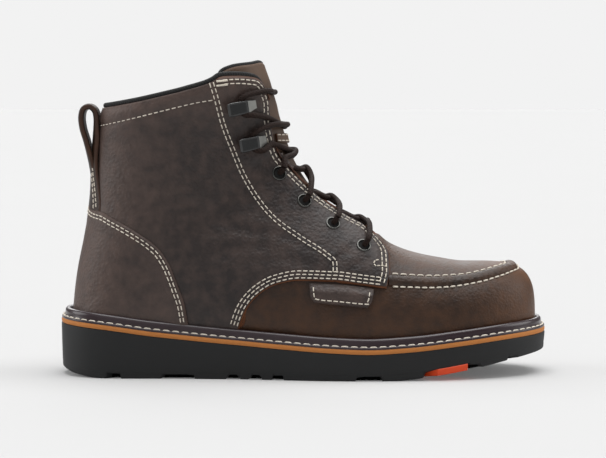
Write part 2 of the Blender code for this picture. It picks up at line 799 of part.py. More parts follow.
def make_panels():
    """Quarters, eyestays, heel counter, side tag."""
    collar_front = (float(collar_station(STAY_CORNER)), STAY_CORNER)
    seam_low = resample(locate(EYESTAY_REAR[:6]), 9)
    seam_high = resample(np.concatenate((locate(EYESTAY_REAR[5:]), [collar_front])), 8)
    seam = np.concatenate((seam_low, seam_high[1:]))
    rear = seam + PANEL_GAP * np.array((0.84, 0.54))
    stay_start = STAY_CORNER + STAY_STEP
    rear[-1] = flatten(np.array([(float(collar_station(stay_start)), stay_start)]))[0]
    shift = PANEL_GAP * np.array((0.6, 0.8))
    bend = COUNTER_TOP[1:2] + shift
    counter_front = locate(np.concatenate((COUNTER_FRONT + shift, bend)))
    counter_top = locate(COUNTER_TOP[-2:0:-1] + shift)
    back = back_edge(105.0, 168.0, 5, BACK_SEAM)
    back[-1] = (float(collar_station(BACK_SEAM)), BACK_SEAM)
    front_low = np.concatenate((COUNTER_FRONT[:1] + shift, bead_edge(-66.0, -43.0, 4), WING_EDGE))
    fork = flatten(locate(bend))[0]
    divide = fork + np.linspace(0.0, 1.0, 10)[:, None] * (seam_low[-1] - fork)
    quarter_low = blend_patch(resample(locate(front_low), 10), divide, resample(counter_front, 9), seam_low)
    quarter_high = blend_patch(
        np.concatenate((resample(np.concatenate((back[:1], counter_top)), 8), divide[1:])),
        resample(collar_edge(BACK_SEAM, STAY_CORNER, 20), 17),
        resample(back, 8),
        seam_high,
    )
    angle = np.linspace(86.0, 10.5, 14)
    throat = np.column_stack((angle / 90.0, angle_at_width(angle / 90.0, column(angle, THROAT))))
    mouth = float(throat[-1, 1])
    throat[-1, 0] = float(collar_station(mouth))
    eyestay = blend_patch(
        resample(locate(WING_FRONT), 6),
        resample(collar_edge(stay_start, mouth, 8), 6),
        rear,
        resample(np.concatenate((locate(EYESTAY_NOSE), throat)), len(rear)),
    )
    fade = np.linspace(1.0, 0.0, quarter_low.shape[1])[None, :] ** 2
    for side, word in ((-1.0, "lateral"), (1.0, "medial")):
        low = form(quarter_low[..., 0], quarter_low[..., 1], side, QUARTER_GAP + QUARTER_FLARE * fade)
        high = form(quarter_high[..., 0], quarter_high[..., 1], side, QUARTER_GAP)
        sheets = [(low, side > 0.0), (high, side > 0.0)]
        shell(f"quarter_{word}", sheets, QUARTER_THICK, True)
        points = form(eyestay[..., 0], eyestay[..., 1], side, EYESTAY_GAP)
        shell(f"eyestay_{word}", [(points, side > 0.0)], EYESTAY_THICK, True)
    counter_low = locate(bead_edge(-141.0, -70.5, 12))
    counter_low[0, 1] = -90.0
    top = locate(COUNTER_TOP)[::-1]
    top[0, 1] = -90.0
    back = back_edge(43.0, 102.0, 5)
    back[0] = counter_low[0]
    back[-1] = top[0]
    counter = blend_patch(
        resample(counter_low, 11),
        resample(top, 11),
        resample(back, 7),
        resample(locate(COUNTER_FRONT), 7),
    )
    counter[0, :, 1] = -90.0
    halves = [form(counter[..., 0], counter[..., 1], side, COUNTER_GAP) for side in (-1.0, 1.0)]
    shell("heel_counter", [(halves[0], False), (halves[1], True)], COUNTER_THICK, True)
    tag = blend_patch(
        resample(locate(TAG_BOTTOM), 5),
        resample(locate(TAG_TOP), 5),
        resample(locate(np.array((TAG_BOTTOM[0], TAG_TOP[0]))), 3),
        resample(locate(np.array((TAG_BOTTOM[-1], TAG_TOP[-1]))), 3),
    )
    shell("side_tag", [(form(tag[..., 0], tag[..., 1], -1.0, OVERLAY_GAP), False)], TAG_THICK, True)


def frame_at(sigma, theta, side, grow):
    """Point, forward direction and outward normal on the form."""
    small = 1e-3
    spot = form(sigma, theta, side, grow)
    ahead = form(sigma + small, theta, side, grow) - form(sigma - small, theta, side, grow)
    around = form(sigma, theta + 0.2, side, grow) - form(sigma, theta - 0.2, side, grow)
    normal = np.cross(ahead, around)
    normal /= np.linalg.norm(normal)
    if normal[1] * side < 0.0:
        normal = -normal
    return spot, ahead / np.linalg.norm(ahead), normal


def make_moc_seam():
    """Raised seam round the toe: a rounded band carried along its line on the vamp."""
    run = np.linspace(0.0, 1.0, 16)
    x = MOC_LINE[0, 0] + (MOC_LINE[-1, 0] - MOC_LINE[0, 0]) * np.sin(0.5 * math.pi * run)
    line = locate(np.column_stack((x, column(x, MOC_LINE))))
    line[-1, 1] = 90.0
    outer = form(line[:, 0], line[:, 1], -1.0, PANEL_GAP)
    inner = form(line[:-1, 0], line[:-1, 1], 1.0, PANEL_GAP)[::-1]
    path = np.concatenate((outer, inner))
    above = np.concatenate(
        (
            form(line[:, 0], line[:, 1], -1.0, PANEL_GAP + 1.0),
            form(line[:-1, 0], line[:-1, 1], 1.0, PANEL_GAP + 1.0)[::-1],
        )
    )
    normal = above - path
    normal /= np.linalg.norm(normal, axis=1)[:, None]
    ahead = np.gradient(path, axis=0)
    ahead /= np.linalg.norm(ahead, axis=1)[:, None]
    cross = np.cross(normal, ahead)
    cross /= np.linalg.norm(cross, axis=1)[:, None]
    rings = [
        [p + MOC_HALF_WIDTH * a * c + MOC_HEIGHT * h * n for a, h in MOC_PROFILE]
        for p, c, n in zip(path, cross, normal)
    ]
    skin("moc_seam", rings, False)


def tube(path, radius, sides):
    """Rings of a round cord along a path."""
    path = np.asarray(path, float)
    ahead = np.gradient(path, axis=0)
    ahead /= np.linalg.norm(ahead, axis=1)[:, None]
    level = np.cross(ahead, (0.0, 0.0, 1.0))
    level /= np.linalg.norm(level, axis=1)[:, None]
    lift = np.cross(level, ahead)
    turn = np.linspace(0.0, 2.0 * math.pi, sides, endpoint=False)
    ring = np.cos(turn)[None, :, None] * level[:, None, :] + np.sin(turn)[None, :, None] * lift[:, None, :]
    return path[:, None, :] + radius * ring


def make_tongue():
    """Tongue under the eyestays, its lace keeper, and the collar binding."""
    stations = 13
    angles = np.linspace(0.0, 1.0, 7)
    fall = np.linspace(0.0, 1.0, stations)
    side_low = float(column(90.0 * TONGUE_FOOT, TONGUE_SIDE))
    theta = np.zeros((stations, len(angles)))
    sigma = np.zeros_like(theta)
    for k, f in enumerate(fall):
        start = TONGUE_TOP[0, 0] + (side_low - TONGUE_TOP[0, 0]) * f
        theta[k] = start + (90.0 - start) * angles
        top = column(TONGUE_TOP[0, 0] + (90.0 - TONGUE_TOP[0, 0]) * angles, TONGUE_TOP) / 90.0
        sigma[k] = top + (TONGUE_FOOT - top) * f
    depth = TONGUE_OUTER - TONGUE_SINK * fall[:, None]
    halves = [form(sigma, theta, side, depth) for side in (-1.0, 1.0)]
    whole = np.concatenate((halves[0], halves[1][:, -2::-1]), axis=1)
    shell("tongue", [(whole, False)], TONGUE_THICK, False)
    tab_sigma = np.linspace(KEEPER_TOP, KEEPER_FOOT, 3) / 90.0
    offset = np.linspace(KEEPER_HALF, 0.0, 4)
    theta = np.array([angle_at_width(np.full(4, s), offset) for s in tab_sigma])
    sigma = np.repeat(tab_sigma[:, None], 4, axis=1)
    halves = [form(sigma, theta, side, TONGUE_OUTER + PANEL_GAP) for side in (-1.0, 1.0)]
    whole = np.concatenate((halves[0], halves[1][:, -2::-1]), axis=1)
    shell("lace_keeper", [(whole, False)], KEEPER_THICK, True)
    rim = collar_edge(-90.0, BINDING_END, 18)
    spots = [form(rim[:, 0], rim[:, 1], side, -0.1) for side in (-1.0, 1.0)]
    path = np.concatenate((spots[0][::-1], spots[1][1:]))
    path[:, 2] += BINDING_RADIUS + OVERLAY_GAP
    skin("collar_binding", tube(path, BINDING_RADIUS, 6), False)


def place_rig(item, spot, ahead, normal):
    """Move a small fitting onto the form: X ahead, Z outwards."""
    z = Vector(normal)
    x = Vector(ahead)
    x = (x - z * x.dot(z)).normalized()
    turn = Matrix((x, z.cross(x), z)).transposed().to_4x4()
    item.data.transform(Matrix.Translation(Vector(spot) * MM) @ turn)


def make_fittings():
    """Eyelet rings and lace hooks on both eyestays."""
    seat = EYESTAY_GAP + EYESTAY_THICK
    for side, word in ((-1.0, "lateral"), (1.0, "medial")):
        for number, (sigma, theta) in enumerate(locate(EYELETS), start=1):
            bpy.ops.mesh.primitive_torus_add(
                major_segments=10,
                minor_segments=4,
                major_radius=EYELET_RING * MM,
                minor_radius=EYELET_WIRE * MM,
            )
            ring = bpy.context.object
            ring.name = f"eyelet_{word}_{number}"
            spot, ahead, normal = frame_at(sigma, theta, side, seat + FITTING_LIFT + EYELET_WIRE)
            place_rig(ring, spot, ahead, normal)
        for number, (sigma, theta) in enumerate(locate(HOOKS), start=1):
            rings = [[(a, y, h) for a, h in HOOK_PROFILE] for y in (-0.5 * HOOK_WIDTH, 0.5 * HOOK_WIDTH)]
            hook = skin(f"hook_{word}_{number}", rings, False)
            spot, _, normal = frame_at(sigma, theta, side, seat + SEAM_GAP)
            tilt = math.radians(HOOK_TILT)
            place_rig(hook, spot, (math.cos(tilt), 0.0, math.sin(tilt)), normal)


def make_pull_loop():
    """Strap loop at the back of the shaft."""
    run = np.concatenate(([0.0], np.cumsum(np.linalg.norm(np.diff(PULL_LOOP, axis=0), axis=1))))
    at = np.linspace(0.0, run[-1], 26)
    line = np.column_stack((through(at, run, PULL_LOOP[:, 0]), through(at, run, PULL_LOOP[:, 1])))
    ahead = np.gradient(line, axis=0)
    ahead /= np.linalg.norm(ahead, axis=1)[:, None]
    across = np.column_stack((-ahead[:, 1], ahead[:, 0]))
    half = 0.5 * STRAP_THICK
    edge = 0.5 * STRAP_WIDTH
    corners = ((-half, -edge), (half, -edge), (half, edge), (-half, edge))
    rings = [
        [(x + out * nx, y, z + out * nz) for out, y in corners]
        for (x, z), (nx, nz) in zip(line, across)
    ]
    skin("pull_loop", rings, False)


def ease_angle(sigma, theta, length):
    """Section angle reached by moving a length forwards round the section."""
    step = form(sigma, theta + 0.5, -1.0) - form(sigma, theta - 0.5, -1.0)
    return theta + length / np.linalg.norm(step)


def lace_half(place, reach, middle):
    """Half of a crossing, from beside a fitting in to the centre line: station, half width, growth."""
    sigma, theta = place
    end = abs(float(form(sigma, ease_angle(sigma, theta, reach), 1.0)[1] - form(sigma, 90.0, 1.0)[1]))
    edge = float(column(90.0 * sigma, THROAT))
    offset = np.array((end, min(edge - LACE_EDGE_INSET, 0.9 * end), LACE_DIP_SHARE * edge))
    station = middle + offset / end * (sigma - middle)
    over = EYESTAY_GAP + EYESTAY_THICK + LACE_CLEAR + LACE_RADIUS
    under = TONGUE_OUTER + LACE_LIFT + LACE_RADIUS
    return station, angle_at_width(station, offset), np.array((over, over, under))


def make_lace():
    """Lace crossings from fitting to fitting, joined into one solid."""
    ring_reach = EYELET_RING + EYELET_WIRE + LACE_RADIUS + 0.5
    hook_reach = max(along for along, _ in HOOK_PROFILE) + LACE_RADIUS + 3.5
    places = [(*place, ring_reach) for place in locate(EYELETS)]
    places += [(*place, hook_reach) for place in locate(HOOKS)]
    spans = [(k, k + 1, side) for k in range(len(places) - 1) for side in (-1.0, 1.0)]
    spans += [(0, 0, 1.0), (len(places) - 1, len(places) - 1, 1.0)]
    cords = []
    for number, (first, last, side) in enumerate(spans):
        middle = places[first][0] + (places[last][0] - places[first][0]) * LACE_CROSSING
        near = lace_half(places[first][:2], places[first][2], middle)
        away = lace_half(places[last][:2], places[last][2], middle)
        start = form(near[0], near[1], side, near[2])
        end = form(away[0], away[1], -side, away[2])
        path = np.concatenate((start, end[::-1]))
        cords.append(skin(f"cord_{number}", tube(path, LACE_RADIUS, 5), False))
    lace = cords[0]
    lace.name = "lace"
    for cord in cords[1:]:
        cut(lace, hide(cord), "UNION")


def make_material(words, colour, roughness, metallic):
    """Plain surface of a piece."""
    material = bpy.data.materials.new(words or "leather")
    material.use_nodes = True
    shader = material.node_tree.nodes["Principled BSDF"]
    shader.inputs["Base Color"].default_value = (*colour, 1.0)
    shader.inputs["Roughness"].default_value = roughness
    shader.inputs["Metallic"].default_value = metallic
    return material


def finish_pieces():
    """Sort pieces and cutters into collections, and give each piece its surface and smooth faces."""
    scene = bpy.context.scene
    boot = bpy.data.collections.new("work_boot")
    cutters = bpy.data.collections.new("cutters")
    scene.collection.children.link(boot)
    scene.collection.children.link(cutters)
    surfaces = [(finish[0], make_material(*finish)) for finish in FINISHES]
    for item in list(scene.collection.objects):
        scene.collection.objects.unlink(item)
        if item.hide_render:
            cutters.objects.link(item)
            continue
        boot.objects.link(item)
        surface = next(material for words, material in surfaces if item.name.startswith(words))
        item.data.materials.clear()
        item.data.materials.append(surface)
        item.data.shade_smooth()
        item.data.set_sharp_from_angle(angle=math.radians(SMOOTH_ANGLE))


def main():
    """Build every piece of the boot."""
    for item in list(bpy.data.objects):
        bpy.data.objects.remove(item)
    make_sole()
    make_upper()
    make_panels()
    make_moc_seam()
    make_tongue()
    make_fittings()
    make_pull_loop()
    make_lace()
    finish_pieces()


main()
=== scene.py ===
"""Looks of a moc-toe lace-up work boot for the right foot.

Every surface is worked out from the form of the last: sections on lines that fan out from a pivot
over the ball of the foot, and upright sections along the vamp. Sizes are millimetres until a piece
becomes a mesh, which is in metres. The toe points along +X and the outer side of the foot along -Y.
"""
import math

import bmesh
import bpy
import numpy as np
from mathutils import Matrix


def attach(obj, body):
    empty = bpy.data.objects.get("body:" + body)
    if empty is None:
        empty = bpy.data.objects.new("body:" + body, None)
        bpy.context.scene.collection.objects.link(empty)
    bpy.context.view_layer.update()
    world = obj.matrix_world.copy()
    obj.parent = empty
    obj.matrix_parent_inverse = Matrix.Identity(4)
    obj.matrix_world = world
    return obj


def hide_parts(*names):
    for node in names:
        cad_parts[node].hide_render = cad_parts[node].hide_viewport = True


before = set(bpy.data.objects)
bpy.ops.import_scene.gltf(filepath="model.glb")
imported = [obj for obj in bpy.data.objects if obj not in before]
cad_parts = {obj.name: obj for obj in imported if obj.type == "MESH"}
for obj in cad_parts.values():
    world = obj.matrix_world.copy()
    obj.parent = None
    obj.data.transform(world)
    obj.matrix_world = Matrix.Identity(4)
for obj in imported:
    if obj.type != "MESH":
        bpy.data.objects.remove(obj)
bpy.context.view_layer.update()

bl_info = {
    "name": "Work Boot Looks",
    "version": (1, 0, 0),
    "blender": (4, 5, 0),
    "location": "View3D > Sidebar > Boot",
    "description": "Leather, stitching, laces, fittings and sole of a moc-toe work boot",
    "category": "Object",
}

MM = 0.001
SIDES = (-1.0, 1.0)
SIDE_WORDS = ("lateral", "medial")
PANEL_LOOKS = ("pebbled_oiled_leather", "cut_leather_edge")
# Panels whose cut rim takes the dark welt finish: partly the dark cut edge, partly painted shade along it.
DARK_RIM_LOOKS = ("pebbled_oiled_leather", "waxed_welt_leather")

# Camera: the photograph's view of the outer side, image 606 by 458.
CAMERA_PLACE = (-0.0006, -1.5, 0.175)
CAMERA_DOWN = 3.22
CAMERA_LENS = 140.7
CAMERA_SENSOR = 36.0
FILL_LIGHT = 0.19

# Sole outline.
SOLE_LENGTH = 307.0
HEEL_ROUND_START = -112.0
TOE_ROUND_START = 60.0
END_POWER = 2.3

# Sole stack, given from the top of the midsole.
MIDSOLE_THICK = 3.0
UPPER_FOOT = 3.1
BEAD_CLEAR = 7.4
INSOLE_TOP = 6.6
INSOLE_INSET = 11.5

# Upper ends and insets from the sole outline.
PIVOT_X = 45.0
PIVOT_Z = 199.0
TOE_TIP = 147.3
HEEL_INSET = 9.4
FEATHER_INSET = 8.8
BULGE_INSET = 7.6
TOE_ARCH_START = 100.0
TOE_ARCH_POWER = 3.5
TOE_FOOT_SHARE = 0.86
CENTRE_STRAIGHT = 115.0
CENTRE_CURVED = 60.0
SHAFT_FOOT = 0.34
INSTEP_FOOT = 0.985
THROAT_SETBACK = 1.6

# Outer face of each layer, as distance from the form.
WALL = 2.2
QUARTER_TOP = 2.2
STAY_TOP = 2.7
COUNTER_LIFT = 3.5
TAG_TOP_FACE = 4.2
PANEL_THICK = 1.7
TONGUE_OUTER = -3.3
TONGUE_SINK = 1.2
TONGUE_THICK = 3.6
TONGUE_FOOT = 1.10
KEEPER_TOP = 152.8
KEEPER_FOOT = 147.0
KEEPER_HALF = 12.5
KEEPER_FACE = -1.9
STAY_CORNER = 12.8
MOUTH_FRONT = 55.2
CORNER_WIDTH = 11.0
CORNER_DROP = 0.08
BACK_SEAM = -89.7
CORNER_BARS = (184.0, 181.3)

# Half width of the sole outline along the boot: x, half width.
PLAN = np.array([
    (-155.0, 40.0), (-100.0, 40.0), (-72.0, 38.8), (-45.0, 39.6), (-15.0, 45.5), (15.0, 51.8),
    (45.0, 55.0), (155.0, 55.0),
])

# Centre line of the foot in plan: x, y.
CENTRE = np.array([
    (-155.0, 0.0), (-100.0, -0.6), (-50.0, -4.0), (0.0, -3.0), (45.0, 0.0), (90.0, 3.2), (155.0, 9.0),
])

# Top of the midsole along the boot: x, z.
MIDSOLE_TOP = np.array([
    (-154.0, 35.8), (-124.0, 33.2), (-95.0, 29.3), (-64.0, 26.2), (-40.0, 24.1), (-15.0, 22.2),
    (19.0, 20.0), (40.0, 19.3), (65.0, 20.6), (99.0, 24.2), (125.0, 27.0), (154.0, 29.2),
])

# Bottom of the outsole along the boot: x, z.
SOLE_BOTTOM = np.array([
    (-154.0, 5.4), (-139.0, 1.4), (-125.0, 0.0), (-60.0, 0.0), (54.0, 0.0), (73.0, 1.8), (101.0, 6.0),
    (132.0, 12.0), (154.0, 15.6),
])

# Back of the upper: x, z.
BACK = np.array([
    (-124.3, 199.0), (-125.0, 170.5), (-127.0, 157.0), (-129.0, 134.0), (-133.2, 107.0), (-137.0, 87.0),
    (-140.6, 69.0), (-143.0, 52.0), (-144.0, 42.0), (-144.1, 28.0),
])

# Front of the shaft and the instep on the centre line: x, z.
FRONT = np.array([
    (-21.0, 199.0), (-15.6, 183.0), (-12.8, 173.5), (-10.6, 163.0), (-7.6, 147.0), (-0.5, 131.0),
    (11.5, 115.5), (25.0, 104.0), (37.0, 95.8), (45.0, 89.6),
])

# Crest of the vamp before the toe rounds over: x, z.
CREST = np.array([
    (45.0, 89.6), (54.0, 82.0), (66.6, 76.9), (84.4, 72.7), (102.0, 70.2), (125.0, 70.8), (148.0, 74.0),
])

# Sections on the fan: angle below level, half width, place of the widest point, back power, front power.
FAN = np.array([
    (0.0, 36.5, 0.50, 1.95, 2.2),
    (10.0, 36.0, 0.50, 1.95, 2.2),
    (20.0, 33.5, 0.47, 1.95, 2.2),
    (30.0, 32.5, 0.42, 2.05, 2.1),
    (40.0, 33.5, 0.36, 2.25, 2.0),
    (50.0, 34.0, 0.30, 2.4, 2.0),
    (62.0, 36.0, 0.26, 2.4, 2.0),
    (75.0, 41.5, 0.25, 2.4, 2.1),
    (90.0, 47.4, 0.25, 2.4, 2.3),
])

# Half of the throat gap on the fan: angle below level, half gap at the eyestay edge.
THROAT = np.array([
    (0.0, 25.0), (10.0, 24.0), (20.0, 19.8), (32.0, 17.8), (45.0, 15.2), (62.0, 14.2), (75.0, 15.6),
    (90.0, 16.5),
])

# Collar edge round one side: section angle from the back, angle below level.
COLLAR = np.array([
    (-90.0, 10.4), (-40.0, 10.6), (-10.0, 10.2), (8.0, 9.3), (14.0, 8.5), (20.0, 7.2), (30.0, 7.6),
    (48.0, 9.9), (58.0, 12.5), (90.0, 14.0),
])

# Upper edge of the tongue: section angle, angle below level.
TONGUE_TOP = np.array([
    (20.0, 6.0), (27.0, 4.0), (38.0, 2.9), (58.0, 2.3), (73.0, 1.7), (83.0, 1.9), (90.0, 2.6),
])

# Side edge of the tongue: angle below level, section angle.
TONGUE_SIDE = np.array([
    (0.0, 20.0), (40.0, 38.0), (75.0, 48.0), (100.0, 58.0),
])

# Panel edges and stitch lines drawn in side view: x, z.
COUNTER_FRONT = np.array([(-70.5, 35.4), (-72.8, 46.4), (-77.1, 57.5), (-82.7, 70.2)])
COUNTER_TOP = np.array([
    (-82.7, 70.2), (-89.6, 80.8), (-103.8, 92.0), (-116.5, 99.4), (-125.5, 103.9), (-136.0, 107.6),
])
WING_EDGE = np.array([
    (-39.6, 31.6), (-35.1, 43.7), (-27.1, 53.0), (-16.8, 58.6), (-3.1, 61.0), (19.2, 60.2),
])
WING_FRONT = np.array([(19.2, 60.2), (34.5, 58.2), (50.8, 56.1)])
STAY_SEAM = np.array([
    (19.2, 60.2), (18.9, 71.0), (14.6, 75.4), (-3.1, 86.6), (-17.9, 97.0), (-29.4, 109.5), (-38.6, 124.4),
    (-45.4, 141.5), (-51.1, 157.6), (-55.0, 173.6),
])
STAY_NOSE = np.array([(50.8, 56.1), (53.2, 65.9), (53.0, 74.7)])
TAG_UPPER = np.array([(3.2, 59.6), (22.0, 58.6), (43.2, 55.9)])
TAG_LOWER = np.array([(6.4, 48.6), (22.0, 46.6), (39.0, 45.0)])
MOC_LINE = np.array([
    (52.0, 61.4), (65.0, 60.5), (81.0, 59.8), (96.0, 60.4), (108.0, 62.0), (119.5, 64.6), (127.0, 66.4),
    (131.6, 67.4),
])
COLLAR_STITCH = np.array([
    (-126.8, 156.6), (-106.0, 161.0), (-83.1, 166.7), (-66.1, 170.7), (-56.4, 172.2),
])

# Hooked tack of stitches behind the eyestay's nose: x, z.
NOSE_TACK = np.array([(46.4, 72.2), (44.2, 71.9), (43.2, 70.4), (44.6, 69.0), (48.2, 68.8), (51.6, 68.0)])

# Eyelets and hooks on each side, from the toe up: x, z.
EYELETS = np.array([(37.0, 80.6), (17.6, 94.0), (-0.6, 107.8), (-16.8, 125.0)])
HOOKS = np.array([(-35.2, 144.8), (-41.6, 167.4)])

# Soft creases of worn-in leather: x, z, length, rise in degrees, width, depth.
CREASES = (
    (-18.0, 88.0, 46.0, -14.0, 3.4, 0.50),
    (-24.0, 80.0, 58.0, -8.0, 4.0, 0.55),
    (-14.0, 73.0, 44.0, -4.0, 3.0, 0.40),
    (-40.0, 92.0, 40.0, -20.0, 4.6, 0.45),
    (-52.0, 76.0, 36.0, 4.0, 4.4, 0.40),
    (-62.0, 104.0, 30.0, -24.0, 5.0, 0.35),
    (24.0, 76.0, 22.0, 38.0, 2.2, 0.30),
    (33.0, 70.0, 20.0, 30.0, 2.4, 0.25),
    (-30.0, 132.0, 18.0, 8.0, 2.0, 0.30),
    (-26.0, 138.0, 16.0, -6.0, 2.0, 0.26),
    (72.0, 44.0, 34.0, 78.0, 5.0, 0.30),
    (92.0, 46.0, 30.0, 84.0, 6.0, 0.25),
)

# Tread: cross grooves as x from, x to, depth.
GROOVES = (
    (-122.4, -114.0, 3.5),
    (-87.8, -68.0, 2.7),
    (-46.5, -40.0, 2.9),
    (-32.4, -26.6, 2.9),
    (-19.2, -13.0, 2.9),
    (32.4, 47.6, 2.9),
    (101.6, 109.0, 2.9),
    (127.0, 132.4, 2.0),
)
GROOVE_RAMP = 0.5
INSERT_FROM = 73.4
INSERT_TO = 101.2
INSERT_BEND = 82.5
INSERT_INSET = 13.0
INSERT_RISE = 4.3
INSERT_NOTCH = 9.0
CORE_INSET = 5.5

# Strap of the pull loop in side view: x, z.
PULL_LOOP = np.array([
    (-137.4, 92.0), (-134.6, 115.0), (-133.2, 134.0), (-131.6, 152.0), (-131.0, 160.5), (-132.2, 165.8),
    (-135.6, 168.3), (-139.2, 166.6), (-140.6, 161.8), (-139.9, 154.5), (-137.4, 146.0), (-135.4, 137.0),
    (-134.4, 127.0), (-133.9, 118.0),
])


def linear(code):
    """Linear colour of an sRGB hex code."""
    parts = np.array([int(code[k:k + 2], 16) / 255.0 for k in (0, 2, 4)])
    return tuple(np.where(parts <= 0.04045, parts / 12.92, ((parts + 0.055) / 1.055) ** 2.4))


def colour_property(words, use, code):
    """Colour that a user may change."""
    return bpy.props.FloatVectorProperty(
        name=words, description=use, default=linear(code), subtype="COLOR", size=3, min=0.0, max=1.0
    )


def length_property(words, use, millimetres):
    """Length that a user may change."""
    return bpy.props.FloatProperty(
        name=words, description=use, default=millimetres * MM, subtype="DISTANCE", unit="LENGTH", min=0.0
    )


class BootSizes(bpy.types.PropertyGroup):
    """Sizes of the fine work."""

    stitch: length_property("Stitch", "Length of a stitch that shows on the panels", 3.0)
    stitch_pitch: length_property("Stitch Pitch", "Distance from stitch to stitch on the panels", 3.8)
    thread: length_property("Thread", "Width of the sewing thread", 0.74)
    lace: length_property("Lace", "Diameter of the round lace", 3.6)
    pebble: length_property("Pebble", "Size of the leather's pebbles, drawn coarse enough to show", 1.8)
    moc_width: length_property("Moc Seam", "Width of the raised seam round the toe", 7.4)
    moc_height: length_property("Moc Height", "Height of the raised seam round the toe", 2.3)


class BootColours(bpy.types.PropertyGroup):
    """Colours of the finishes."""

    leather: colour_property("Leather", "Oiled brown of the panels", "2B211E")
    vamp: colour_property("Vamp", "Warmer brown of the leather over toe and sides", "2A1C14")
    leather_dark: colour_property("Leather Dark", "Darker oil in the leather", "201817")
    # Pull-up tone, also used for the painted highlight on the top of the vamp.
    pull_up_and_highlight: colour_property("Pull-up", "Lighter brown where the leather is stretched", "5E3B20")
    worn: colour_property("Worn", "Greyer brown where the panels are rubbed", "6A554C")
    raw_edge: colour_property("Raw Edge", "Cut edge of the leather", "6A3D20")
    tongue: colour_property("Tongue", "Leather of the tongue", "4C392B")
    thread: colour_property("Thread", "Cream sewing thread", "F0E6D6")
    welt: colour_property("Welt", "Waxed welt", "24141A")
    midsole: colour_property("Midsole", "Cut edge of the midsole", "C67C38")
    outsole: colour_property("Outsole", "Black tread rubber", "0B0C0D")
    insert: colour_property("Insert", "Coloured rubber in the tread", "F04A0A")
    metal: colour_property("Fittings", "Plated necks of the hooks; the eyelets are darker", "A8A8A4")
    lace: colour_property("Lace", "Braided lace", "26160F")
    lining: colour_property("Lining", "Knitted lining and binding", "121212")
    insole: colour_property("Insole", "Footbed cover", "6A4E36")
    floor: colour_property("Floor", "Plain pale floor", "BFBFBF")


def cubic(values, rates, k, span, t):
    """Cubic between knots k and k + 1 with the given values and rates there."""
    start = values[k] * (1.0 + 2.0 * t) * (1.0 - t) ** 2 + span * rates[k] * t * (1.0 - t) ** 2
    end = values[k + 1] * t ** 2 * (3.0 - 2.0 * t) + span * rates[k + 1] * t ** 2 * (t - 1.0)
    return start + end


def knot_before(at, knots):
    """Index of the knot before each place, never the last one."""
    return np.clip(np.searchsorted(knots, at, side="right") - 1, 0, len(knots) - 2)


def through(at, knots, values):
    """Monotone cubic curve through the knots, level outside them."""
    at = np.clip(np.asarray(at, float), knots[0], knots[-1])
    step = np.diff(knots)
    slope = np.diff(values) / step
    same = slope[:-1] * slope[1:] > 0.0
    both = np.where(same, slope[:-1] + slope[1:], 1.0)
    inner = np.where(same, 2.0 * slope[:-1] * slope[1:] / both, 0.0)
    rates = np.concatenate((slope[:1], inner, slope[-1:]))
    k = knot_before(at, knots)
    return cubic(values, rates, k, step[k], (at - knots[k]) / step[k])


def column(at, table, index=1):
    """Value of one column of a table at the given places in its first column."""
    return through(at, table[:, 0], table[:, index])


def deck(x):
    """Height of the midsole's top along the boot."""
    return column(x, MIDSOLE_TOP)


def tread(x):
    """Height of the sole's underside along the boot."""
    return column(x, SOLE_BOTTOM)


def run_along(path):
    """Length along a path at each of its points."""
    return np.concatenate(([0.0], np.cumsum(np.linalg.norm(np.diff(path, axis=0), axis=1))))


def unit(vectors):
    """Vectors brought to length one."""
    return vectors / np.linalg.norm(vectors, axis=-1, keepdims=True)


def joined(near, far, axis=0):
    """Near and far half of a shape as one, without doubling their shared middle line."""
    back = np.flip(far, axis)
    return np.concatenate((near, back[1:] if axis == 0 else back[:, 1:]), axis)


def smooth(part):
    """Soft step from 0 to 1."""
    part = np.clip(part, 0.0, 1.0)
    return part * part * (3.0 - 2.0 * part)


def even_ends(count):
    """Steps from 0 to 1 that lie closer near both ends."""
    return 0.5 - 0.5 * np.cos(np.linspace(0.0, math.pi, count))


def round_end(part, power):
    """Fall from 1 to 0 along a rounded end."""
    return (1.0 - np.clip(part, 0.0, 1.0) ** power) ** (1.0 / power)


def half_width(x, inset, heel_inset=None, toe_inset=None):
    """Half width of the sole outline at x, moved inwards by the insets of sides and ends."""
    heel_end = -0.5 * SOLE_LENGTH + (inset if heel_inset is None else heel_inset)
    toe_end = 0.5 * SOLE_LENGTH - (inset if toe_inset is None else toe_inset)
    heel = round_end((HEEL_ROUND_START - x) / (HEEL_ROUND_START - heel_end), END_POWER)
    toe = round_end((x - TOE_ROUND_START) / (toe_end - TOE_ROUND_START), END_POWER)
    return (column(x, PLAN) - inset) * heel * toe


def centre_shift():
    """Sideways shift that puts the widest places of the sole at equal distances."""
    x = np.linspace(-0.5 * SOLE_LENGTH, 0.5 * SOLE_LENGTH, 600)
    middle = column(x, CENTRE)
    width = half_width(x, 0.0)
    return -0.5 * ((middle + width).max() + (middle - width).min())


CENTRE[:, 1] += centre_shift()


def centre_line(x, z):
    """Centre of the boot at x: it follows the foot low down and runs straight in the shaft."""
    return column(x, CENTRE) * smooth((CENTRE_STRAIGHT - z) / (CENTRE_STRAIGHT - CENTRE_CURVED))


def polar(table):
    """Angle below level and distance of a profile's points from the pivot."""
    angle = np.degrees(np.arctan2(PIVOT_Z - table[:, 1], PIVOT_X - table[:, 0]))
    reach = np.hypot(PIVOT_Z - table[:, 1], PIVOT_X - table[:, 0])
    return np.column_stack((angle, reach))


BACK_POLAR = polar(BACK)
FRONT_POLAR = polar(FRONT)


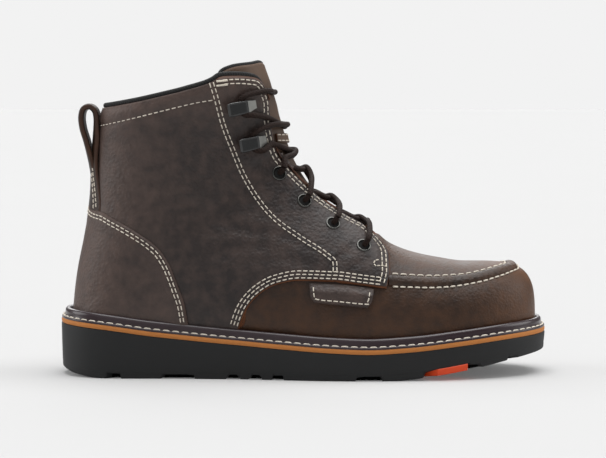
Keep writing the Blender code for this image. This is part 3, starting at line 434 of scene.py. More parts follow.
def section(sigma, grow):
    """Ends, half width and shape of the whole section at a station, grown outwards.

    Stations 0 to 1 sweep the fan from level to upright and stations 1 to 2 run along the vamp. The back
    end of a section lies beyond the foot, which cuts it where its half width equals the feather line's.
    """
    sigma = np.asarray(sigma, float)
    fan = sigma <= 1.0
    angle = 90.0 * np.minimum(sigma, 1.0)
    rad = np.radians(np.maximum(angle, 0.01))
    x_low = np.zeros_like(rad)
    for _ in range(7):
        reach_low = (PIVOT_Z - deck(x_low) - UPPER_FOOT) / np.sin(rad)
        x_low = PIVOT_X - reach_low * np.cos(rad)
    reach_back = column(angle, BACK_POLAR)
    reach = np.minimum(reach_low, reach_back)
    near = column(angle, FRONT_POLAR)
    along = np.maximum(sigma - 1.0, 0.0)
    x_vamp = PIVOT_X + along * (TOE_TIP - PIVOT_X)
    foot = deck(x_vamp) + UPPER_FOOT
    arch = round_end((x_vamp - TOE_ARCH_START) / (TOE_TIP - TOE_ARCH_START), TOE_ARCH_POWER)
    rise = (column(x_vamp, CREST) - foot) * arch
    wide = half_width(x_vamp, BULGE_INSET, toe_inset=0.5 * SOLE_LENGTH - TOE_TIP)
    wide = np.where(fan, column(angle, FAN, 1), wide)
    widest = column(angle, FAN, 2)
    back_power = column(angle, FAN, 3)
    front_power = column(angle, FAN, 4)
    x_foot = np.where(fan, PIVOT_X - reach * np.cos(rad), x_vamp)
    feather = half_width(x_foot, FEATHER_INSET, HEEL_INSET)
    feather = np.where(fan & (reach_back <= reach_low), 0.0, feather)
    feather = np.where(fan, feather, np.maximum(feather, TOE_FOOT_SHARE * wide))
    share = np.clip(feather / np.maximum(wide, 1e-6), 0.0, 0.999)
    first = widest * (1.0 - (1.0 - share ** back_power) ** (1.0 / back_power))
    beyond = first / (1.0 - first)
    reach_whole = reach + beyond * (reach - near) + grow
    near = near - grow
    x_vamp = x_vamp + grow * along
    x_start = np.where(fan, PIVOT_X - reach_whole * np.cos(rad), x_vamp)
    z_start = np.where(fan, PIVOT_Z - reach_whole * np.sin(rad), foot - beyond * rise - grow * arch)
    x_end = np.where(fan, PIVOT_X - near * np.cos(rad), x_vamp)
    z_end = np.where(fan, PIVOT_Z - near * np.sin(rad), foot + rise + grow * arch)
    wide = wide + np.where(fan, grow, grow * round_end(along, 4.0))
    return x_start, z_start, x_end, z_end, wide, widest, back_power, front_power, share, first


def form(sigma, theta, side, grow=0.0):
    """Points of the last: station, angle round the section from back to front, side, growth.

    A section is a superellipse between its back and front ends: the place along it follows the
    sine of the angle and the width follows the cosine, each raised to 2 over the section's power.
    """
    sigma, theta, grow = np.broadcast_arrays(np.asarray(sigma, float), np.asarray(theta, float), grow)
    x0, z0, x1, z1, wide, widest, back, front, _, _ = section(sigma, grow)
    sine = np.sin(np.radians(theta))
    cosine = np.maximum(np.cos(np.radians(theta)), 0.0)
    power = np.where(theta < 0.0, back, front)
    span = np.where(theta < 0.0, widest, 1.0 - widest)
    place = widest + span * np.sign(sine) * np.abs(sine) ** (2.0 / power)
    x = x0 + (x1 - x0) * place
    z = z0 + (z1 - z0) * place
    y = centre_line(x, z) + side * wide * cosine ** (2.0 / power)
    return np.stack((x, y, z), axis=-1)


def on_last(places, side, grow=0.0):
    """Points of the last at stations and angles that are held together."""
    return form(places[..., 0], places[..., 1], side, grow)


def low_angle(sigma):
    """Section angle of the upper's lower edge: the back, then the feather line."""
    back, share = (section(sigma, 0.0)[k] for k in (6, 8))
    return -np.degrees(np.arccos(share ** (0.5 * back)))


def angle_at_width(sigma, offset):
    """Section angle in front of the widest point at which the half width equals the offset."""
    wide, front = (section(sigma, 0.0)[k] for k in (4, 7))
    share = np.clip(offset / np.maximum(wide, 1e-6), 0.0, 1.0)
    return np.degrees(np.arccos(share ** (0.5 * front)))


def station_of(x, z):
    """Station of side-view points."""
    angle = np.degrees(np.arctan2(PIVOT_Z - z, PIVOT_X - x))
    return np.where(x <= PIVOT_X, angle / 90.0, 1.0 + (x - PIVOT_X) / (TOE_TIP - PIVOT_X))


def locate(points):
    """Station and section angle of side-view points."""
    x = points[:, 0]
    z = points[:, 1]
    sigma = station_of(x, z)
    x0, z0, x1, z1, _, widest, back, front, _, first = section(sigma, 0.0)
    run = (x1 - x0) ** 2 + (z1 - z0) ** 2
    part = ((x - x0) * (x1 - x0) + (z - z0) * (z1 - z0)) / run
    place = np.clip(part, first, 1.0)
    rear = place < widest
    share = np.where(rear, (widest - place) / widest, (place - widest) / (1.0 - widest))
    power = np.where(rear, back, front)
    theta = np.degrees(np.arcsin(np.clip(share, 0.0, 1.0) ** (0.5 * power)))
    return np.column_stack((sigma, np.where(rear, -theta, theta)))


def collar_station(theta):
    """Station of the collar edge at a section angle."""
    return column(theta, COLLAR) / 90.0


def mouth_station(theta, front=MOUTH_FRONT, width=CORNER_WIDTH):
    """Station of the mouth's edge: the collar, rounded down like an ellipse where it meets the throat."""
    part = np.clip((theta - front + width) / width, 0.0, 1.0)
    return collar_station(theta) + CORNER_DROP * (1.0 - np.sqrt(1.0 - part ** 2))


UNROLL_STEPS = 180


def unroll(sigma):
    """Sections laid flat on their own lines: widest point, direction, sampled angles, lengths round them."""
    theta = np.linspace(-90.0, 90.0, UNROLL_STEPS + 1)
    spots = form(sigma[:, None], theta[None, :], -1.0)
    steps = np.linalg.norm(np.diff(spots, axis=1), axis=2)
    run = np.concatenate((np.zeros((len(sigma), 1)), np.cumsum(steps, axis=1)), axis=1)
    middle = UNROLL_STEPS // 2
    run -= run[:, middle:middle + 1]
    x0, z0, x1, z1 = section(sigma, 0.0)[:4]
    way = unit(np.column_stack((x1 - x0, z1 - z0)))
    return spots[:, middle][:, (0, 2)], way, theta, run


def flatten(places):
    """Flat position of stations and angles, true to length round each section."""
    widest, way, _, run = unroll(places[:, 0])
    at = np.clip((places[:, 1] + 90.0) / 180.0, 0.0, 1.0) * UNROLL_STEPS
    k = np.minimum(at.astype(int), UNROLL_STEPS - 1)
    row = np.arange(len(k))
    length = run[row, k] + (at - k) * (run[row, k + 1] - run[row, k])
    return widest + way * length[:, None]


def unflatten(flat):
    """Stations and angles of flat positions."""
    sigma = station_of(flat[:, 0], flat[:, 1])
    widest, way, theta, run = unroll(sigma)
    length = ((flat - widest) * way).sum(axis=1)
    k = np.clip((run < length[:, None]).sum(axis=1) - 1, 0, UNROLL_STEPS - 1)
    row = np.arange(len(k))
    low = run[row, k]
    part = np.clip((length - low) / np.maximum(run[row, k + 1] - low, 1e-9), 0.0, 1.0)
    return np.column_stack((sigma, theta[k] + part * (theta[k + 1] - theta[k])))


def along_line(flat, at):
    """Points of a flat line at shares of its length, on a smooth curve through its points."""
    run = run_along(flat)
    at = np.asarray(at) * run[-1]
    return np.column_stack((through(at, run, flat[:, 0]), through(at, run, flat[:, 1])))


def resample(places, at):
    """Flat points at shares of the length of an edge given as stations and angles."""
    return along_line(flatten(np.asarray(places, float)), at)


def offset_line(flat, inset):
    """Flat line moved sideways to its left by the inset."""
    ahead = unit(np.gradient(flat, axis=0))
    return flat + inset * np.column_stack((-ahead[:, 1], ahead[:, 0]))


def blend_patch(low, high, rear, front, a, b):
    """Flat points that fill four flat edges: low and high run forwards, rear and front upwards.

    The surface is the sum of both straight blends between opposite edges, less the corner blend.
    """
    a = a[:, None, None]
    b = b[None, :, None]
    across = (1.0 - b) * low[:, None, :] + b * high[:, None, :]
    upright = (1.0 - a) * rear[None, :, :] + a * front[None, :, :]
    corners = (1.0 - a) * ((1.0 - b) * low[0] + b * high[0]) + a * ((1.0 - b) * low[-1] + b * high[-1])
    return across + upright - corners


def places_of(flat):
    """Stations and angles of a grid of flat points."""
    return unflatten(flat.reshape(-1, 2)).reshape(flat.shape)


def distance_to(flat, line):
    """Distance of flat points from a flat line, to the nearest of its segments."""
    start = line[:-1]
    way = np.diff(line, axis=0)
    length = np.maximum((way ** 2).sum(axis=1), 1e-12)
    points = flat.reshape(-1, 1, 2) - start[None, :, :]
    part = np.clip((points * way[None]).sum(axis=2) / length, 0.0, 1.0)
    gap = np.linalg.norm(points - part[..., None] * way[None], axis=2)
    return gap.min(axis=1).reshape(flat.shape[:-1])


def crease_relief(points):
    """Height of the creases at points: each is a soft trough with a ridge beside it, fading at its ends."""
    x = points[..., 0]
    z = points[..., 2]
    relief = np.zeros_like(x)
    for cx, cz, length, rise, width, depth in CREASES:
        turn = math.radians(rise)
        along = (x - cx) * math.cos(turn) + (z - cz) * math.sin(turn)
        across = (z - cz) * math.cos(turn) - (x - cx) * math.sin(turn) + along ** 2 / (4.0 * length)
        fade = np.exp(-(2.0 * along / length) ** 4)
        trough = np.exp(-(across / width) ** 2)
        ridge = np.exp(-((across - 1.7 * width) / (1.2 * width)) ** 2)
        relief += depth * fade * (0.6 * ridge - trough)
    return relief


def slack_relief(points):
    """Slow waves of hand-lasted leather: three crossed sines of a few centimetres."""
    x, y, z = points[..., 0], points[..., 1], points[..., 2]
    wave = np.sin(x / 13.0 + z / 9.0 + 0.6 * np.sin(y / 11.0))
    wave += np.sin(z / 11.0 - x / 21.0 + 1.3) + 0.6 * np.sin(x / 7.0 - z / 15.0 + y / 9.0)
    return 0.09 * wave


def grid_quads(rows, columns, start=0):
    """Quads of a grid of points stored row by row."""
    i, j = np.meshgrid(np.arange(rows - 1), np.arange(columns - 1), indexing="ij")
    first = start + i * columns + j
    return np.stack((first, first + columns, first + columns + 1, first + 1), axis=-1).reshape(-1, 4)


def ring_quads(rings, around, start=0, joined=False):
    """Quads between closed rings of points stored ring by ring, joined at the ends of a closed path."""
    i, j = np.meshgrid(np.arange(rings if joined else rings - 1), np.arange(around), indexing="ij")
    after = (j + 1) % around
    ahead = (i + 1) % rings
    quads = (i * around + j, i * around + after, ahead * around + after, ahead * around + j)
    return start + np.stack(quads, axis=-1).reshape(-1, 4)


def new_piece(name, points, faces, looks, replaces=(), values=None, uv=None, tidy="turn", sharp=60.0):
    """Mesh object of millimetre points that rides on the boot.

    Faces is a list of index arrays, looks are names of finishes and values are named point attributes.
    Tidy is "weld" for sheets that share edges, "turn" for closed meshes whose faces have to point outwards,
    or None. Edges bent more than the sharp angle keep their crease.
    """
    mesh = bpy.data.meshes.new(name)
    polygons = [face for part in faces for face in part.tolist()]
    mesh.from_pydata(np.asarray(points, float).reshape(-1, 3) * MM, [], polygons)
    for word, numbers in (values or {}).items():
        mesh.attributes.new(word, "FLOAT", "POINT").data.foreach_set("value", np.ravel(numbers))
    if uv is not None:
        corner = np.zeros(len(mesh.loops), int)
        mesh.loops.foreach_get("vertex_index", corner)
        mesh.uv_layers.new(name="UVMap").data.foreach_set("uv", np.asarray(uv).reshape(-1, 2)[corner].ravel())
    if tidy:
        bm = bmesh.new()
        bm.from_mesh(mesh)
        bmesh.ops.remove_doubles(bm, verts=bm.verts, dist=0.004 * MM)
        bmesh.ops.dissolve_degenerate(bm, edges=bm.edges, dist=0.001 * MM)
        if tidy == "turn":
            bmesh.ops.recalc_face_normals(bm, faces=bm.faces)
        bm.to_mesh(mesh)
        bm.free()
    mesh.shade_smooth()
    mesh.set_sharp_from_angle(angle=math.radians(sharp))
    for look in looks:
        mesh.materials.append(finish(look))
    item = bpy.data.objects.new(name, mesh)
    bpy.context.scene.collection.objects.link(item)
    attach(item, "root")
    if replaces:
        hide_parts(*replaces)
    return item


def thicken(item, thickness, inner=0, rim=0):
    """Wall inwards from an outer sheet, with its inner face and rim in other material slots."""
    wall = item.modifiers.new("Wall", "SOLIDIFY")
    wall.thickness = thickness * MM
    wall.offset = -1.0
    wall.material_offset = inner
    wall.material_offset_rim = rim
    return item


def two_sided(places, grow, values=None):
    """Points and quads of the same sheet on both sides of the boot, faces outwards."""
    points = []
    faces = []
    rows, columns = places.shape[:2]
    for number, side in enumerate((-1.0, 1.0)):
        points.append(on_last(places, side, grow).reshape(-1, 3))
        quads = grid_quads(rows, columns, number * rows * columns)
        faces.append(quads if side < 0.0 else quads[:, ::-1])
    doubled = {word: np.concatenate((np.ravel(v), np.ravel(v))) for word, v in (values or {}).items()}
    return np.concatenate(points), faces, doubled


def sweep(path, normal, profile):
    """Profile carried along a path: across and up offsets in the frame of path direction and normal."""
    ahead = unit(np.gradient(path, axis=0))
    normal = unit(normal - (normal * ahead).sum(axis=1)[:, None] * ahead)
    across = np.cross(ahead, normal)
    return path[:, None, :] + profile[..., 0:1] * across[:, None, :] + profile[..., 1:2] * normal[:, None, :]


def capped(rings, around, start=0):
    """Faces of an open swept skin: quads between rings and one flat cap at each end."""
    first = start + np.arange(around)[::-1]
    last = start + (rings - 1) * around + np.arange(around)
    return [ring_quads(rings, around, start), np.array([first]), np.array([last])]


def smooth_path(points, count):
    """Smooth curve through route points, evenly stepped: a cubic with slopes set by the neighbours."""
    points = np.asarray(points, float)
    knots = np.concatenate(([0.0], np.cumsum(np.linalg.norm(np.diff(points, axis=0), axis=1) ** 0.5)))
    at = np.linspace(0.0, knots[-1], 12 * count)
    k = knot_before(at, knots)
    span = (knots[k + 1] - knots[k])[:, None]
    curve = cubic(points, np.gradient(points, knots, axis=0), k, span, (at - knots[k])[:, None] / span)
    run = run_along(curve)
    even = np.linspace(0.0, run[-1], count)
    return np.column_stack([np.interp(even, run, curve[:, k]) for k in range(3)])


def circle(count, radius=1.0):
    """Ring profile as across and up offsets."""
    turn = np.linspace(0.0, 2.0 * math.pi, count, endpoint=False)
    return radius * np.column_stack((np.cos(turn), np.sin(turn)))


def add_node(tree, kind, inputs=None, output=0, **settings):
    """Add a shader node with its settings, set or link its inputs and return one of its outputs."""
    item = tree.nodes.new(f"ShaderNode{kind}")
    for word, value in settings.items():
        setattr(item, word, value)
    for socket, value in (inputs or {}).items():
        if isinstance(value, bpy.types.NodeSocket):
            tree.links.new(value, item.inputs[socket])
        else:
            item.inputs[socket].default_value = value
    return item.outputs[output]


def new_material(name, **sockets):
    """Empty material with a shader whose constant values are set on its own sockets."""
    material = bpy.data.materials.new(name)
    material.use_nodes = True
    tree = material.node_tree
    shader = tree.nodes["Principled BSDF"]
    for word, value in sockets.items():
        shader.inputs[word.replace("_", " ").title().replace("Ior", "IOR")].default_value = value
    return material, tree, shader


def per_mm(size):
    """Texture scale for a pattern of that size in millimetres."""
    return 1.0 / (size * MM)


def opaque(colour):
    """Colour with full alpha."""
    return (*colour, 1.0)


def mix(tree, factor, first, second):
    """Blend of two colours by a factor."""
    return add_node(tree, "Mix", {"Factor": factor, "A": first, "B": second}, "Result", data_type="RGBA")


def noise(tree, coords, size, detail):
    """Cloudy pattern with patches of a size in millimetres."""
    return add_node(tree, "TexNoise", {"Vector": coords, "Scale": per_mm(size), "Detail": detail})


def multiply_add(tree, value, factor, added):
    """Value times a factor plus another value."""
    return add_node(tree, "Math", {0: value, 1: factor, 2: added}, operation="MULTIPLY_ADD")


def dress(tree, shader, colour, height, strength, depth, invert=False):
    """Give a shader its colour and the bump of a height pattern, its depth in millimetres."""
    pattern = {"Height": height, "Strength": strength, "Distance": depth * MM}
    tree.links.new(colour, shader.inputs["Base Color"])
    tree.links.new(add_node(tree, "Bump", pattern, invert=invert), shader.inputs["Normal"])


def leather_material(name, base, dark, light, edge, pebble, grain, roughness, shine):
    """Oiled full-grain leather: dark oil clouds, lighter pull-up where it is stretched and a painted
    highlight in the same tone where asked, a fine pebble.

    The eye sees a soft broken gloss, warm brown at worn places and a suede-like brown cut edge.
    """
    material, tree, shader = new_material(name, ior=1.48, specular_ior_level=shine)
    coords = add_node(tree, "TexCoord", output="Object")
    wear, raw = (add_node(tree, "Attribute", output="Fac", attribute_name=word) for word in ("wear", "raw"))
    clouds = noise(tree, coords, 42.0, 6.0)
    mottle = noise(tree, coords, 7.0, 5.0)
    cloud = add_node(tree, "MapRange", {"Value": clouds, "From Min": 0.36, "From Max": 0.64})
    # The light tone comes in by the point attribute: real pull-up and wear, and a painted highlight on the
    # top of the vamp.
    spread = multiply_add(tree, mottle, 0.85, wear)
    pull_and_highlight = add_node(tree, "MapRange", {"Value": spread, "From Min": 0.36, "From Max": 1.45})
    worn = mix(tree, pull_and_highlight, mix(tree, cloud, opaque(dark), opaque(base)), opaque(light))
    ends = {"To Min": roughness - 0.09, "To Max": roughness + 0.12}
    gloss = add_node(tree, "MapRange", {"Value": mottle, **ends})
    tree.links.new(multiply_add(tree, raw, 0.3, gloss), shader.inputs["Roughness"])
    cells = add_node(tree, "TexVoronoi", {"Vector": coords, "Scale": per_mm(pebble)}, feature="SMOOTH_F1")
    height = multiply_add(tree, noise(tree, coords, 0.5, 3.0), 0.35, cells)
    dress(tree, shader, mix(tree, raw, worn, opaque(edge)), height, grain, 0.5, True)
    return material


def speckled_material(name, colour, other, patch, fine, strength, sockets):
    """Surface of two close tones in soft patches with a fine bump: rubber, fabric, thread or plating."""
    material, tree, shader = new_material(name, **sockets)
    coords = add_node(tree, "TexCoord", output="Object")
    tones = mix(tree, noise(tree, coords, patch, 4.0), opaque(colour), opaque(other))
    dress(tree, shader, tones, noise(tree, coords, fine, 2.0), strength, 0.3)
    return material


def braid_material(name, colour, other, pitch, strands, ior):
    """Braided or knitted yarn on a map of length in millimetres and turns round the cord.

    Two crossing sets of slanted waves raise the yarns and darken the gaps between them as painted shade.
    """
    material, tree, shader = new_material(name, roughness=0.75, ior=ior)
    uv = add_node(tree, "UVMap", uv_map="UVMap")
    along, around = (add_node(tree, "SeparateXYZ", {"Vector": uv}, word) for word in "XY")
    turn = 2.0 * math.pi
    length = add_node(tree, "Math", {0: along, 1: turn / pitch}, operation="MULTIPLY")
    slants = (multiply_add(tree, around, way * turn * strands, length) for way in SIDES)
    waves = [add_node(tree, "Math", {0: slant}, operation="SINE") for slant in slants]
    yarn = add_node(tree, "Math", {0: waves[0], 1: waves[1]}, operation="MAXIMUM")
    shade = add_node(tree, "MapRange", {"Value": yarn, "From Min": -1.0, "From Max": 1.0})
    dress(tree, shader, mix(tree, shade, opaque(other), opaque(colour)), yarn, 0.5, 0.3)
    return material


# Leathers: base, dark oil and pull-up (also the tone of painted highlights) as colour and share of it, pebble
# share, grain, roughness, shine.
LEATHERS = {
    # Tumbled leather of shaft, eyestays and heel: its pebble breaks the light into small soft points.
    "pebbled_oiled_leather": (("leather", 1.0), ("leather_dark", 1.0), ("worn", 1.0), 1.0, 0.7, 0.48, 0.5),
    # Smoother leather of the vamp, pulled over the last: a calmer, slightly waxy and warmer face.
    "lasted_oiled_leather": (("vamp", 1.0), ("vamp", 0.55), ("pull_up_and_highlight", 1.0), 0.8, 0.45, 0.47, 0.42),
    # Folded tongue leather, drier and lighter.
    "soft_tongue_leather": (("tongue", 1.0), ("tongue", 0.6), ("tongue", 1.7), 1.0, 0.25, 0.55, 0.5),
}

RUBBER_IOR = 1.5

# Other finishes: colour, shares of its two tones, patch and bump size, bump strength, shader values.
FINISHES = {
    # Flesh side at a cut edge: matt, warm and fibrous.
    "cut_leather_edge": ("raw_edge", 1.0, 0.5, 2.0, 0.6, 0.5, {"roughness": 0.85}),
    # Waxed welt: dark, smooth, with a clear line of light along its bead.
    "waxed_welt_leather": (
        "welt", 1.0, 1.5, 9.0, 1.2, 0.12,
        {"roughness": 0.34, "ior": 1.5, "coat_weight": 0.4, "coat_roughness": 0.2},
    ),
    # Sanded cut edge of the midsole sheet: flat, matt and even.
    "sanded_midsole_rubber": ("midsole", 1.0, 0.82, 3.0, 0.7, 0.25, {"roughness": 0.7, "ior": RUBBER_IOR}),
    # Moulded tread rubber: near black, matt, faintly mottled.
    "moulded_black_rubber": ("outsole", 1.0, 1.5, 14.0, 0.9, 0.2, {"roughness": 0.62, "ior": RUBBER_IOR}),
    # Tread rubber deep in the grooves: only shade, without the gloss of the outer faces.
    "shaded_tread_rubber": (
        "outsole", 0.5, 0.3, 14.0, 0.9, 0.1, {"roughness": 0.95, "specular_ior_level": 0.1},
    ),
    # Moulded coloured rubber of the insert: even and slightly glossy.
    "moulded_orange_rubber": ("insert", 1.0, 0.85, 8.0, 0.9, 0.15, {"roughness": 0.5, "ior": RUBBER_IOR}),
    # Bonded polyester thread: pale, matt, slightly uneven.
    "bonded_thread": ("thread", 1.0, 0.72, 3.0, 0.5, 0.4, {"roughness": 0.75, "ior": 1.5}),
    # Stamped steel with a bright plating on the hooks' necks.
    "plated_steel": ("metal", 1.0, 0.7, 4.0, 0.6, 0.06, {"roughness": 0.32, "metallic": 1.0}),
    # Rolled eyelet, plated dark, bright only along its rim.
    "blackened_steel": ("metal", 0.34, 0.22, 4.0, 0.6, 0.06, {"roughness": 0.25, "metallic": 1.0}),
    # Hook strip under black lacquer: dark, with light only along its bent rims.
    "black_lacquer": (
        "outsole", 1.0, 1.6, 4.0, 0.6, 0.06,
        {"roughness": 0.3, "ior": 1.5, "coat_weight": 0.6, "coat_roughness": 0.1},
    ),
    # Inside of an eyelet: nothing but shade.
    "eyelet_shade": ("lining", 0.2, 0.1, 2.0, 1.0, 0.1, {"roughness": 0.9}),
    # Knitted black lining over foam: soft, with a faint sheen.
    "knitted_lining": ("lining", 1.0, 2.2, 1.1, 0.7, 0.5, {"roughness": 0.9, "sheen_weight": 0.3}),
    # Brushed leather footbed: matt and even.
    "brushed_insole": ("insole", 1.0, 0.75, 6.0, 0.9, 0.3, {"roughness": 0.8}),
    # Plain matt floor.
    "matt_floor": ("floor", 1.0, 0.985, 400.0, 60.0, 0.0, {"roughness": 0.9}),
}

# Braided yarns: colour, pitch, strands, IOR.
BRAIDS = {
    # Tightly braided polyester lace: dark brown with fine crossing yarns.
    "braided_lace": ("lace", 2.2, 5.0, 1.35),
    # Ribbed black binding tape: fine ribs across its edge.
    "ribbed_binding": ("lining", 1.6, 2.0, 1.5),
}
# Share of the yarn's colour in the gaps between yarns: painted shade.
BRAID_GAP = 0.4


def finish(name):
    """Material by its finish name, made at first use."""
    if name in bpy.data.materials:
        return bpy.data.materials[name]
    colours = bpy.context.scene.boot_colours

    def tone(word, share=1.0):
        return tuple(min(1.0, share * part) for part in getattr(colours, word))

    if name in LEATHERS:
        *browns, pebbles, grain, roughness, shine = LEATHERS[name]
        size = pebbles * bpy.context.scene.boot_sizes.pebble / MM
        tones = [tone(*brown) for brown in browns]
        return leather_material(name, *tones, tone("raw_edge"), size, grain, roughness, shine)
    if name in BRAIDS:
        word, *weave = BRAIDS[name]
        return braid_material(name, tone(word), tone(word, BRAID_GAP), *weave)
    word, share, other, *pattern = FINISHES[name]
    return speckled_material(name, tone(word, share), tone(word, other), *pattern)


def stitch_mesh(points, ahead, normal, length, width):
    """Stitches as small spindles: rings along each stitch, thick in the middle, sunk at both ends."""
    place = np.array((-1.0, -0.86, -0.5, 0.5, 0.86, 1.0))
    fat = np.array((0.5, 0.9, 1.0, 1.0, 0.9, 0.5))
    sink = np.array((-0.6, -0.15, 0.1, 0.1, -0.15, -0.6))
    ring = circle(6)
    ahead = unit(ahead)
    across = unit(np.cross(ahead, normal))
    normal = np.cross(across, ahead)
    line = points[:, None, :] + 0.5 * length * place[None, :, None] * ahead[:, None, :]
    line = line + width * sink[None, :, None] * normal[:, None, :]
    wide = 0.5 * width * fat[:, None] * ring[None, :, 0]
    tall = 0.5 * width * fat[:, None] * ring[None, :, 1]
    body = line[:, :, None, :] + wide[None, ..., None] * across[:, None, None, :]
    body = body + tall[None, ..., None] * normal[:, None, None, :]
    rings, around = len(place), len(ring)
    quads = ring_quads(rings, around)
    caps = np.array([np.arange(around)[::-1], (rings - 1) * around + np.arange(around)])
    start = (np.arange(len(points)) * rings * around)[:, None, None]
    return body.reshape(-1, 3), (start + quads[None]).reshape(-1, 4), (start + caps[None]).reshape(-1, around)


def panel_gauge(context):
    """Length, pitch and thread width of the panels' stitches in millimetres."""
    sizes = context.scene.boot_sizes
    return sizes.stitch / MM, sizes.stitch_pitch / MM, sizes.thread / MM


class Threads:
    """Stitches gathered from many rows into one mesh."""

    def __init__(self):
        self.points = []
        self.quads = []
        self.caps = []
        self.count = 0

    def add(self, path, normal, length, pitch, width):
        """Stitches at even steps along a path of points with their normals."""
        run = run_along(path)
        number = max(1, round(run[-1] / pitch))
        at = (np.arange(number) + 0.5) * run[-1] / number
        ahead = np.gradient(path, axis=0)
        spots, ways, ups = (
            np.column_stack([np.interp(at, run, row) for row in part.T]) for part in (path, ahead, normal)
        )
        points, quads, caps = stitch_mesh(spots, ways, ups, length, width)
        self.points.append(points)
        self.quads.append(quads + self.count)
        self.caps.append(caps + self.count)
        self.count += len(points)

    def on_form(self, flat, sides, grow, length, pitch, width):
        """Stitches along a flat line on the boot's sides."""
        places = unflatten(flat)
        for side in sides:
            path = on_last(places, side, grow)
            self.add(path, on_last(places, side, grow + 1.0) - path, length, pitch, width)

    def piece(self, name):
        """One mesh of all stitches."""
        faces = [np.concatenate(self.quads), np.concatenate(self.caps)]
        points = np.concatenate(self.points)
        return new_piece(name, points, faces, ["bonded_thread"], tidy=None, sharp=40.0)


FINE = np.linspace(0.0, 1.0, 140)


def outline(inset, x):
    """Closed plan outline at given stations: outer side from heel to toe, inner side back."""
    x = x * (0.5 * SOLE_LENGTH - inset)
    width = half_width(x, inset)
    middle = column(x, CENTRE)
    outer = np.column_stack((x, middle - width))
    inner = np.column_stack((x, middle + width))
    return np.concatenate((outer, inner[-2:0:-1]))


def round_stations(count):
    """Stations from heel to toe as shares of the half length, close together at the round ends."""
    return -np.cos(np.linspace(0.0, math.pi, count))


def raised(level, rise):
    """Height function of x that lies above another one."""
    return lambda at: level(at) + rise


def sole_levels(levels, x):
    """Rings of a sole-shaped solid, each from an inset and a height function of x."""
    rings = []
    for inset, height in levels:
        flat = outline(inset, x)
        rings.append(np.column_stack((flat, height(flat[:, 0]))))
    return np.array(rings)


def sole_faces(levels, count):
    """Faces of stacked outlines: side quads and rungs across the lowest and highest."""
    around = 2 * (count - 1)
    k = np.arange(count - 1)
    rungs = np.stack((k, k + 1, (around - k - 1) % around, (around - k) % around), axis=-1)
    return [ring_quads(levels, around), rungs, (levels - 1) * around + rungs[:, ::-1]]


def groove_rise(x):
    """Rise of the tread's bottom in its cross grooves, with short ramps at their edges."""
    rise = np.zeros_like(x)
    for start, end, depth in GROOVES:
        inside = np.minimum(smooth((x - start) / GROOVE_RAMP + 1.0), smooth((end - x) / GROOVE_RAMP + 1.0))
        floor = tread(0.5 * (start + end)) + depth - tread(x)
        rise = np.maximum(rise, inside * np.maximum(floor, 0.0))
    return rise


def tread_stations():
    """Sole stations with extra ones at the groove edges."""
    edges = [(start - GROOVE_RAMP, start, end, end + GROOVE_RAMP) for start, end, _ in GROOVES]
    notch = [place + step for place in (INSERT_FROM, INSERT_TO) for step in (-0.05, 0.05)]
    edges = np.concatenate((np.ravel(edges), notch)) / (0.5 * SOLE_LENGTH)
    return np.unique(np.concatenate((round_stations(200), edges)))


